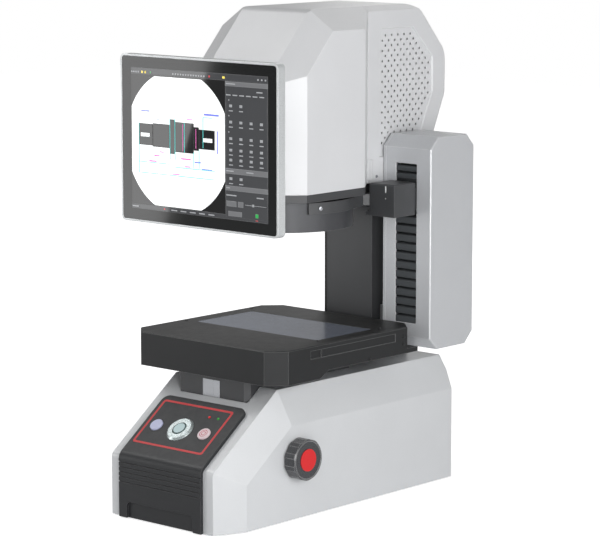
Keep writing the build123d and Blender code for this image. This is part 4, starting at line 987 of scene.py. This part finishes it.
@dataclass
class MeasuringPicture:
    """What the monitor shows: a lit round part, its sizes as plain lines, and a panel of plain tools."""

    left: float = -0.151
    right: float = 0.1545
    low: float = 0.5012
    high: float = 0.7355
    divide: float = 0.0618
    tool_low: float = 0.7245
    status_high: float = 0.5092
    disc_middle: tuple[float, float] = (-0.0445, 0.6165)
    disc_radius: float = 0.1187
    disc_half_width: float = 0.1055
    disc_half_height: float = 0.1065
    disc_sides: int = 96
    shaft_middle: float = 0.6262
    shaft_steps: tuple[Point, ...] = (
        (-0.1336, -0.1012, 0.0178), (-0.1012, -0.0622, 0.0193), (-0.0622, -0.0508, 0.0284),
        (-0.0508, -0.008, 0.0247), (-0.008, 0.0034, 0.0192), (0.0034, 0.0388, 0.016),
    )
    tool_left: float = 0.07
    tool_pitch: float = 0.0222
    tool_rows: tuple[float, ...] = (0.6815, 0.6555, 0.629, 0.6105, 0.5945, 0.5645)
    tool_counts: tuple[int, ...] = (2, 4, 4, 4, 4, 2)
    tool_mark: Sides = (0.001, 0.007, 0.001, 0.0052)
    tool_line: Sides = (0.0, 0.0085, -0.0056, -0.004)
    headings: tuple[float, ...] = (0.6938, 0.6687, 0.6426)
    bars: tuple = ((0.716, 0.7235), (0.5752, 0.5842), (0.5482, 0.5562))
    tile: Tile = field(default_factory=Tile)

    def put(self, name: str, places: Sequence[Sides], layer: int, finish: Finish) -> None:
        """Makes plates of one finish on the screen."""
        dress(self.tile.build(name, places, layer), finish, "monitor")

    def lit_disc(self) -> Piece:
        """Makes the bright field: a round plate cut flat on four sides.

        Returns:
            The plate.
        """
        deselect()
        step = self.tile.layer_step
        middle = Vector((self.disc_middle[0], self.tile.face - step, self.disc_middle[1]))
        upright = (math.pi / 2, 0, 0)
        bpy.ops.mesh.primitive_circle_add(
            vertices=self.disc_sides,
            radius=self.disc_radius,
            fill_type="NGON",
            location=middle,
            rotation=upright,
        )
        disc = added("display_lit_field")
        settle(disc)
        edit(disc)
        for way, reach in (
            (Toward.RIGHT, self.disc_half_width),
            (Toward.LEFT, self.disc_half_width),
            (Toward.UP, self.disc_half_height),
            (Toward.DOWN, self.disc_half_height),
        ):
            pick_all()
            place = middle + way.value * reach
            bpy.ops.mesh.bisect(plane_co=place, plane_no=way.value, clear_outer=True, use_fill=False)
        pick_all()
        bpy.ops.mesh.extrude_region_move(TRANSFORM_OT_translate={"value": (0, -2 * step, 0)})
        leave()
        return disc

    def ground(self) -> None:
        """Makes the dark ground, the tool panel and its bars."""
        self.put("display_ground", [(self.left, self.right, self.low, self.high)], 1, DISPLAY_BLACK)
        dress(self.lit_disc(), DISPLAY_WHITE, "monitor")
        panels = [
            (self.divide, self.right, self.low, self.tool_low),
            (self.left, self.right, self.tool_low, self.high),
            (self.left, self.divide, self.low, self.status_high),
        ]
        self.put("display_panels", panels, 2, DISPLAY_PANEL)
        bars = [(self.divide, self.right, low, high) for low, high in self.bars]
        bars += drawn((640, 860, 5225, 5315), (890, 1010, 5225, 5315), (680, 980, 5070, 5150))
        self.put("display_bars", bars, 3, DISPLAY_BAR)

    def shaft(self) -> None:
        """Makes the part's dark outline with its two lit slots."""
        steps = [(a, b, self.shaft_middle - h, self.shaft_middle + h) for a, b, h in self.shaft_steps]
        self.put("display_shaft", steps, 5, DISPLAY_SHAFT)
        slots = drawn((-1290, -1085, 6222, 6285), (125, 335, 6222, 6285))
        self.put("display_slots", slots, 6, DISPLAY_WHITE)

    def sizes(self) -> None:
        """Makes the measuring lines around the part, without figures."""
        cyan = drawn(
            (-1336, -1327, 5620, 6460), (-622, -613, 5880, 6560), (-508, -499, 5880, 6560),
            (-85, -76, 5780, 6040), (34, 43, 5780, 6080), (-1336, -622, 5800, 5809),
            (-1336, 388, 5620, 5629), (-508, 388, 5760, 5769), (-295, -286, 6010, 6510),
            (125, 134, 6120, 6620), (125, 330, 6615, 6624),
        )
        pink = drawn(
            (-1100, -930, 5820, 5840), (-980, -860, 5915, 5935), (-860, -760, 5985, 6000),
            (-370, -150, 5905, 5925), (-280, -160, 5785, 5800), (-560, -400, 5640, 5655),
            (-330, -321, 6040, 6480), (-35, -26, 6100, 6420), (-230, -110, 6560, 6575),
        )
        blue = drawn(
            (-1280, -1080, 6640, 6660), (150, 480, 6655, 6685), (440, 460, 6050, 6420),
            (-60, 80, 5870, 5890), (100, 330, 5770, 5785), (-930, -850, 6512, 6524),
        )
        self.put("display_cyan_lines", cyan, 7, DISPLAY_CYAN)
        self.put("display_pink_lines", pink, 7, DISPLAY_PINK)
        self.put("display_blue_lines", blue, 7, DISPLAY_BLUE)

    def tools(self) -> None:
        """Makes plain marks where a program has its tools, with no lettering."""
        marks = []
        for level, count in zip(self.tool_rows, self.tool_counts):
            for column in range(count):
                across = self.tool_left + column * self.tool_pitch
                for left, right, low, high in (self.tool_mark, self.tool_line):
                    marks.append((across + left, across + right, level + low, level + high))
        marks += [(0.069, 0.071, level - 0.001, level + 0.001) for level in self.headings]
        marks += run(0.064, 0.0145, 6, 0.01, 0.701, 0.7028)
        marks += drawn(
            (640, 840, 7188, 7206), (1300, 1430, 7082, 7100), (640, 800, 5788, 5806),
            (1080, 1230, 5788, 5806), (640, 720, 5516, 5534), (640, 860, 5398, 5416),
            (1300, 1450, 5398, 5416), (1049, 1510, 5272, 5278), (1205, 1245, 5255, 5295),
        )
        marks += run(-0.1505, 0.004, 5, 0.0025, 0.727, 0.7296)
        marks += run(-0.056, 0.0058, 13, 0.003, 0.7275, 0.73)
        marks += run(0.132, 0.008, 3, 0.003, 0.728, 0.7305)
        marks += drawn((-1500, -1360, 5040, 5060))
        marks += run(-0.06, 0.021, 5, 0.013, 0.504, 0.5058)
        self.put("display_marks", marks, 4, DISPLAY_MARK)

    def signs(self) -> None:
        """Makes the few coloured marks at the picture's edges."""
        yellow = drawn((-1270, -1235, 7265, 7305), (-1190, -1165, 7265, 7305), (560, 610, 7275, 7310))
        red = drawn((255, 285, 7275, 7305), (-770, -745, 5040, 5065), (1280, 1330, 5035, 5045))
        green = drawn((-1070, -1050, 7270, 7300), (1275, 1335, 5085, 5145))
        self.put("display_yellow_marks", yellow, 4, DISPLAY_YELLOW)
        self.put("display_red_marks", red, 4, DISPLAY_RED)
        self.put("display_green_marks", green, 4, DISPLAY_GREEN)

    def build(self) -> None:
        """Makes the whole picture, from the ground to its marks."""
        self.ground()
        self.shaft()
        self.sizes()
        self.tools()
        self.signs()


@dataclass
class VentSheets:
    """Perforated sheets in the rear cover's side windows, with staggered round holes."""

    outer: float = 0.0835
    thick: float = 0.0012
    middle: tuple[float, float] = (0.215, 0.68)
    outline: tuple = (
        (0.144, 0.568), (0.144, 0.796), (0.2395, 0.796), (0.296, 0.7395), (0.296, 0.6745), (0.2445, 0.568),
    )
    rim: float = 0.0115
    first_hole: float = 0.1586
    first_row: float = 0.779
    half_pitch: float = 0.00825
    row_pitch: float = 0.0087
    hole: float = 0.0018
    corner: float = 0.58
    corners: int = 8
    slack: float = 1.2
    columns: tuple[int, int] = (-2, 17)
    rows: tuple[int, int] = (-2, 24)

    def sides(self, across: float) -> list[tuple[Vector, Vector]]:
        """Finds the sides of the outline at one distance from the middle plane.

        Args:
            across: The distance along X.

        Returns:
            A point and the outward direction of each side.
        """
        middle = Vector((across, *self.middle))
        points = [Vector((across, y, z)) for y, z in self.outline]
        found = []
        for start, end in zip(points, points[1:] + points[:1]):
            normal = (end - start).cross(Toward.RIGHT.value).normalized()
            if normal.dot(start - middle) < 0:
                normal.negate()
            found.append((start, normal))
        return found

    def opened(self, centre: Vector, limits: Sequence[tuple[Vector, Vector]]) -> bool:
        """Says whether a cell of the grid gets a hole.

        Args:
            centre: The cell's centre.
            limits: The outline's sides.

        Returns:
            True for every second cell that stays clear of the rim.
        """
        column = round((centre.y - self.first_hole) / self.half_pitch)
        row = round((self.first_row - centre.z) / self.row_pitch)
        inside = all((centre - point).dot(out) < -self.rim for point, out in limits)
        return (column + row) % 2 == 1 and inside

    def sheet(self, name: str, side: int) -> Piece:
        """Makes the sheet of one side: a grid with every second cell opened, cut to the outline.

        Args:
            name: The piece's name.
            side: 1 for the right side, -1 for the left one.

        Returns:
            The sheet.
        """
        across = side * self.outer
        limits = self.sides(across)
        columns, rows = (last - first + 1 for first, last in (self.columns, self.rows))
        wide, tall = columns * self.half_pitch, rows * self.row_pitch
        left = self.first_hole + (self.columns[0] - 0.5) * self.half_pitch
        top = self.first_row - (self.rows[0] - 0.5) * self.row_pitch
        deselect()
        bpy.ops.mesh.primitive_grid_add(x_subdivisions=columns, y_subdivisions=rows, size=1)
        sheet = added(name)
        sheet.scale = (wide, tall, 1)
        sheet.rotation_euler = (math.pi / 2, 0, math.pi / 2)
        sheet.location = (across, left + wide / 2, top - tall / 2)
        settle(sheet)
        edit(sheet)
        pick_faces(sheet, lambda centre, _: self.opened(centre, limits))
        bpy.ops.mesh.inset(thickness=self.half_pitch / 2 - self.hole, use_individual=True)
        bpy.ops.mesh.bevel(offset=self.hole * self.corner, affect="VERTICES")
        largest = (self.hole * 2) ** 2 * self.slack
        pick(sheet, Part.FACE, lambda face: len(face.verts) == self.corners and face.calc_area() < largest)
        bpy.ops.mesh.delete(type="FACE")
        for point, out in limits:
            pick_all()
            bpy.ops.mesh.bisect(plane_co=point, plane_no=out, clear_outer=True)
        leave()
        return solid(sheet, self.thick, -side)

    def build(self) -> None:
        """Makes both sheets as one piece in place of the plain ones."""
        sheets = [self.sheet("vent_right", 1), self.sheet("vent_left", -1)]
        dress(join("perforated_vents", sheets), HEAD_WHITE, "machine", ["vent_panels"])


@dataclass
class Fasteners:
    """Screws on the stage, the clamp and the rear cover, each a copy of one model."""

    small: CapScrew = field(default_factory=CapScrew)
    large: CapScrew = field(default_factory=lambda: CapScrew(0.0036, 0.0022))
    deck: tuple[Point, ...] = (
        (-0.158, 0.0925, 0.293), (-0.158, -0.0725, 0.293), (0.142, 0.086, 0.293), (0.142, -0.0725, 0.293),
    )
    skirt: tuple[Point, ...] = (
        (0.1675, 0.1175, 0.2769), (0.1675, 0.1175, 0.2649), (0.1675, 0.03, 0.2508),
    )
    cover: Point = (0.086, 0.1412, 0.5414)
    clamp_radius: float = 0.123
    clamp_z: float = 0.5062
    clamp_front: float = -18.0
    clamp_rear: float = 28.0
    sunk: float = 0.0003

    def build(self) -> None:
        """Puts every row of screws on its body."""
        mirrored = [(-x, y, z) for x, y, z in self.skirt]
        for name, places, way, finish, slot, body in (
            ("stage_screws", self.deck, Toward.UP, SOCKET_DARK, "stage_paint", "table"),
            ("skirt_screws", self.skirt, Toward.RIGHT, SOCKET_DARK, "stage_paint", "table"),
            ("skirt_screws_left", mirrored, Toward.LEFT, SOCKET_DARK, "stage_paint", "table"),
            ("cover_screw", [self.cover], Toward.RIGHT, STEEL, "steel", "machine"),
        ):
            dress(self.small.row(name, places, way.value), finish, body)
        for name, degrees, screw in (
            ("clamp_screw", self.clamp_front, self.large),
            ("clamp_rear_screw", self.clamp_rear, self.small),
        ):
            angle = math.radians(degrees)
            out = Vector((math.cos(angle), math.sin(angle), 0))
            place = out * (self.clamp_radius - self.sunk)
            place.z = self.clamp_z
            dress(screw.row(name, [tuple(place)], out), STEEL, "ring_lift")


@dataclass
class LiftMarks:
    """Zero mark of the ring light's carriage: an upright bright inlay with a dot below it."""

    across: float = 0.1394
    front: float = 0.102
    low: float = 0.5212
    high: float = 0.5322
    half_width: float = 0.0012
    proud: float = 0.0006
    sunk: float = 0.0004
    rounding: float = 0.0003
    dot: float = 0.5111
    dot_radius: float = 0.0009
    dot_height: float = 0.001
    dot_rounding: float = 0.0002

    def build(self) -> None:
        """Makes the inlay and the dot on the carriage's front."""
        pill = block(
            "carriage_mark",
            (self.across - self.half_width, self.front - self.sunk, self.low),
            (self.across + self.half_width, self.front + self.proud, self.high),
            self.rounding,
        )
        foot = (self.across, self.front + self.proud, self.dot)
        point = turned("carriage_dot", foot, self.dot_radius, self.dot_height, Toward.FRONT.value)
        edit(point)
        pick_side(point, Toward.FRONT.value)
        bpy.ops.mesh.bevel(offset=self.dot_rounding, segments=BEVEL_STEPS, affect="EDGES")
        leave()
        dress(join("carriage_marks", [pill, point]), MARK_WHITE, "ring_lift")


@dataclass
class CoverLatch:
    """Flat latch plate on the rear cover's side, just behind the joint."""

    side: float = 0.086
    front: float = 0.1185
    rear: float = 0.13
    low: float = 0.5355
    high: float = 0.571
    thick: float = 0.001
    sunk: float = 0.0003
    border: float = 0.0016
    hollow: float = 0.0004
    rounding: float = 0.0004

    def build(self) -> None:
        """Makes one latch plate for each side of the cover."""
        plates = []
        for side in (1, -1):
            inner, outer = sorted((side * (self.side - self.sunk), side * (self.side + self.thick)))
            low, high = (inner, self.front, self.low), (outer, self.rear, self.high)
            plate = block("latch", low, high, self.rounding)
            edit(plate)
            pick_side(plate, Toward.RIGHT.value * side)
            sink(self.border, (-side * self.hollow, 0, 0))
            leave()
            plates.append(plate)
        dress(join("cover_latches", plates), HEAD_WHITE, "machine")


@dataclass
class RearSockets:
    """Rims and blades of the power inlet, and the rim and rocker of the switch, behind the base."""

    across: float = -0.095
    face: float = 0.29
    inlet: float = 0.05
    switch: float = 0.098
    half_width: float = 0.0135
    half_height: float = 0.011
    rim_depth: float = 0.008
    rim_sunk: float = 0.0004
    rim_border: float = 0.0012
    rim_rounding: float = 0.0006
    pocket: float = 0.0072
    blades: tuple = ((-0.007, 0.0015), (0.0, 0.0045), (0.007, 0.0015))
    blade_drop: float = 0.0055
    blade_size: Point = (0.001, 0.0065, 0.0062)
    blade_rounding: float = 0.0004
    rocker_half_width: float = 0.0115
    rocker_half_height: float = 0.009
    rocker_depth: tuple[float, float] = (0.0006, 0.0092)
    rocker_rounding: float = 0.0008
    rocker_press: float = 0.0026

    def rim(self, name: str, height: float) -> None:
        """Makes a rim with a deep pocket around one socket.

        Args:
            name: The piece's name.
            height: Height of the socket's middle.
        """
        rim = block(
            name,
            (self.across - self.half_width, self.face - self.rim_sunk, height - self.half_height),
            (self.across + self.half_width, self.face + self.rim_depth, height + self.half_height),
            self.rim_rounding,
        )
        edit(rim)
        pick_side(rim, Toward.BACK.value)
        sink(self.rim_border, (0, -self.pocket, 0))
        leave()
        dress(rim, BLACK_PLASTIC, "machine")

    def rocker(self) -> None:
        """Makes the switch's rocker with its lower half pressed in."""
        near, far = self.rocker_depth
        rocker = block(
            "switch_rocker",
            (self.across - self.rocker_half_width, self.face + near, self.switch - self.rocker_half_height),
            (self.across + self.rocker_half_width, self.face + far, self.switch + self.rocker_half_height),
            self.rocker_rounding,
        )
        half = self.face + (near + far) / 2
        edit(rocker, Part.VERT)
        pick(rocker, Part.VERT, lambda vertex: vertex.co.y > half and vertex.co.z < self.switch)
        bpy.ops.transform.translate(value=(0, -self.rocker_press, 0))
        leave()
        dress(rocker, BLACK_PLASTIC, "machine")

    def build(self) -> None:
        """Makes both sockets."""
        self.rim("inlet_rim", self.inlet)
        blades = []
        half_width, length, tall = self.blade_size
        for across, height in self.blades:
            middle = self.across + across
            low = self.inlet + height - self.blade_drop
            near = (middle - half_width, self.face, low)
            far = (middle + half_width, self.face + length, low + tall)
            blades.append(block("blade", near, far, self.blade_rounding))
        dress(join("inlet_blades", blades), STEEL, "machine")
        self.rim("switch_rim", self.switch)
        self.rocker()


def area_lamp(name: str, width: float, height: float, power: float) -> Piece:
    """Adds a soft rectangular lamp to the scene.

    Args:
        name: Its name.
        width: Its size along its own X.
        height: Its size along its own Y.
        power: Its power in watts.

    Returns:
        The lamp, still at the origin.
    """
    light = bpy.data.lights.new(name, "AREA")
    light.shape = "RECTANGLE"
    light.size = width
    light.size_y = height
    light.energy = power
    holder = bpy.data.objects.new(name, light)
    bpy.context.scene.collection.objects.link(holder)
    return holder


@dataclass(frozen=True)
class Lamp:
    """Soft rectangular lamp that looks at the machine's middle.

    The azimuth runs in degrees from the front towards the right side.
    """

    name: str
    azimuth: float
    elevation: float
    distance: float
    width: float
    height: float
    power: float
    target: float = 0.42

    def build(self) -> None:
        """Adds the lamp at its place."""
        a, e = math.radians(self.azimuth), math.radians(self.elevation)
        back = Vector((math.sin(a) * math.cos(e), -math.cos(a) * math.cos(e), math.sin(e)))
        lamp = area_lamp(self.name, self.width, self.height, self.power)
        lamp.location = Vector((0, 0, self.target)) + back * self.distance
        lamp.rotation_euler = (-back).to_track_quat("-Z", "Y").to_euler()


LAMPS = (
    Lamp("key", 82, 9, 3.0, 2.2, 1.5, 36),
    Lamp("edge", 53, 3, 2.6, 0.5, 1.5, 25),
    Lamp("crown", -60, 45, 3.0, 1.2, 1.2, 24),
    Lamp("front", 28, 38, 3.0, 1.0, 1.0, 9),
    Lamp("top", 40, 75, 3.0, 1.6, 1.6, 4),
    Lamp("rear", 205, 30, 3.2, 1.6, 1.4, 12),
)


@dataclass
class Studio:
    """Floor, lamps, background and the camera at the photograph's angle."""

    lens: float = 160.248
    sensor: float = 36
    eye: Point = (2.9848, -3.3149, 1.0781)
    aim: Point = (0.0789, -0.046, 0.4045)
    floor_size: float = 14.0
    floor_drop: float = 0.0002
    floor_colour: tuple[float, ...] = (0.86, 0.86, 0.87, 1)
    white: tuple[float, ...] = (1, 1, 1, 1)
    # Painted shade on the floor: its white glow is dimmed to shade within shade_near of the middle and
    # reaches full strength at shade_far.
    shade_near: float = 0.6
    shade_far: float = 2.4
    shade: float = 0.7
    sky: float = 0.12
    mirrored: float = 0.25
    card_size: float = 0.9
    card_distance: float = 2.5
    card_power: float = 8.9
    card_edge: tuple[Point, Point] = ((0.0268, -0.207, 0.7504), (-0.0762, -0.207, 0.4786))

    def build(self) -> None:
        """Sets up the whole studio."""
        bpy.context.scene.view_settings.view_transform = "Standard"
        self.floor()
        self.background()
        for lamp in LAMPS:
            lamp.build()
        self.card()
        self.camera()

    def seen(self, tree: Tree) -> Socket:
        """Adds how white a ray sees the background.

        Args:
            tree: The tree that uses it.

        Returns:
            1 for the camera and through glass, less when mirrored, 0 as light.
        """
        rays = tree.add("LightPath")
        direct = tree.math("MAXIMUM", rays.outputs["Is Camera Ray"], rays.outputs["Is Transmission Ray"])
        mirrored = tree.math("MULTIPLY", rays.outputs["Is Glossy Ray"], self.mirrored)
        return tree.math("MAXIMUM", direct, mirrored)

    def floor(self) -> None:
        """Makes the pale floor that keeps the machine's shadow, with painted shade: its white glow is
        dimmed near the machine.
        """
        deselect()
        bpy.ops.mesh.primitive_plane_add(size=self.floor_size, location=(0, 0, -self.floor_drop))
        ground = added("studio_floor")
        settle(ground)
        made = bpy.data.materials.new("pale_floor")
        tree = emptied(made)
        matt = tree.add("BsdfDiffuse", {"Color": self.floor_colour})
        away = tree.vector("LENGTH", tree.place(), result="Value")
        # Painted shade: the floor's white glow is weaker near the machine, whatever the lamps do.
        painted_shade_factor = tree.span(away, self.shade_near, self.shade_far, self.shade, 1.0)
        strength = tree.math("MULTIPLY", self.seen(tree), painted_shade_factor)
        white = tree.add("Emission", {"Color": self.white, "Strength": strength})
        both = tree.add("AddShader", {0: matt.outputs[0], 1: white.outputs[0]})
        tree.add("OutputMaterial", {0: both.outputs[0]})
        ground.data.materials.append(made)

    def background(self) -> None:
        """Makes the background: white to the camera, paler in reflections and dim as light."""
        world = bpy.data.worlds.new("studio")
        bpy.context.scene.world = world
        tree = emptied(world)
        strength = tree.span(self.seen(tree), 0.0, 1.0, self.sky, 1.0)
        light = tree.add("Background", {"Color": self.white, "Strength": strength})
        tree.add("OutputWorld", {0: light.outputs[0]})

    def card(self) -> None:
        """Adds the bright card whose slanted edge is mirrored across the screen, as in the photograph.

        The card stands where the mirrored lines of sight through the slanted edge on the screen
        meet its plane, with its right side along that line.
        """
        upper, lower = (Vector(point) for point in self.card_edge)
        eye = Vector((self.eye[0], 2 * self.card_edge[0][1] - self.eye[1], self.eye[2]))
        middle = (upper + lower) / 2
        sight = (middle - eye).normalized()
        centre = middle + sight * self.card_distance
        ends = []
        for point in (upper, lower):
            ray = (point - eye).normalized()
            ends.append(eye + ray * ((centre - eye).dot(sight) / ray.dot(sight)))
        rise = (ends[0] - ends[1]).normalized()
        across = rise.cross(sight).normalized()
        side = across if across.x > 0 else -across
        card = area_lamp("card", self.card_size, self.card_size, self.card_power)
        card.location = (ends[0] + ends[1]) / 2 - side * self.card_size / 2
        card.rotation_euler = Matrix((across, rise, across.cross(rise))).transposed().to_euler()

    def camera(self) -> None:
        """Adds the camera at the photograph's place and lens."""
        data = bpy.data.cameras.new("camera")
        data.sensor_width = self.sensor
        data.lens = self.lens
        camera = bpy.data.objects.new("camera", data)
        camera.location = self.eye
        camera.rotation_euler = (Vector(self.aim) - Vector(self.eye)).to_track_quat("-Z", "Y").to_euler()
        bpy.context.scene.collection.objects.link(camera)
        bpy.context.scene.camera = camera


def main() -> None:
    """Builds the dressed machine and its studio, one sub-assembly after another."""
    logging.basicConfig(level=logging.INFO, format="%(message)s")
    machine = (Housings(), Bellows(), MeasuringPicture(), VentSheets(), Fasteners())
    trim = (LiftMarks(), CoverLatch(), RearSockets())
    for part in (*machine, *trim, Studio()):
        log.info("-- %s", type(part).__name__)
        part.build()
    bpy.context.view_layer.update()


if __name__ == "__main__":
    main()
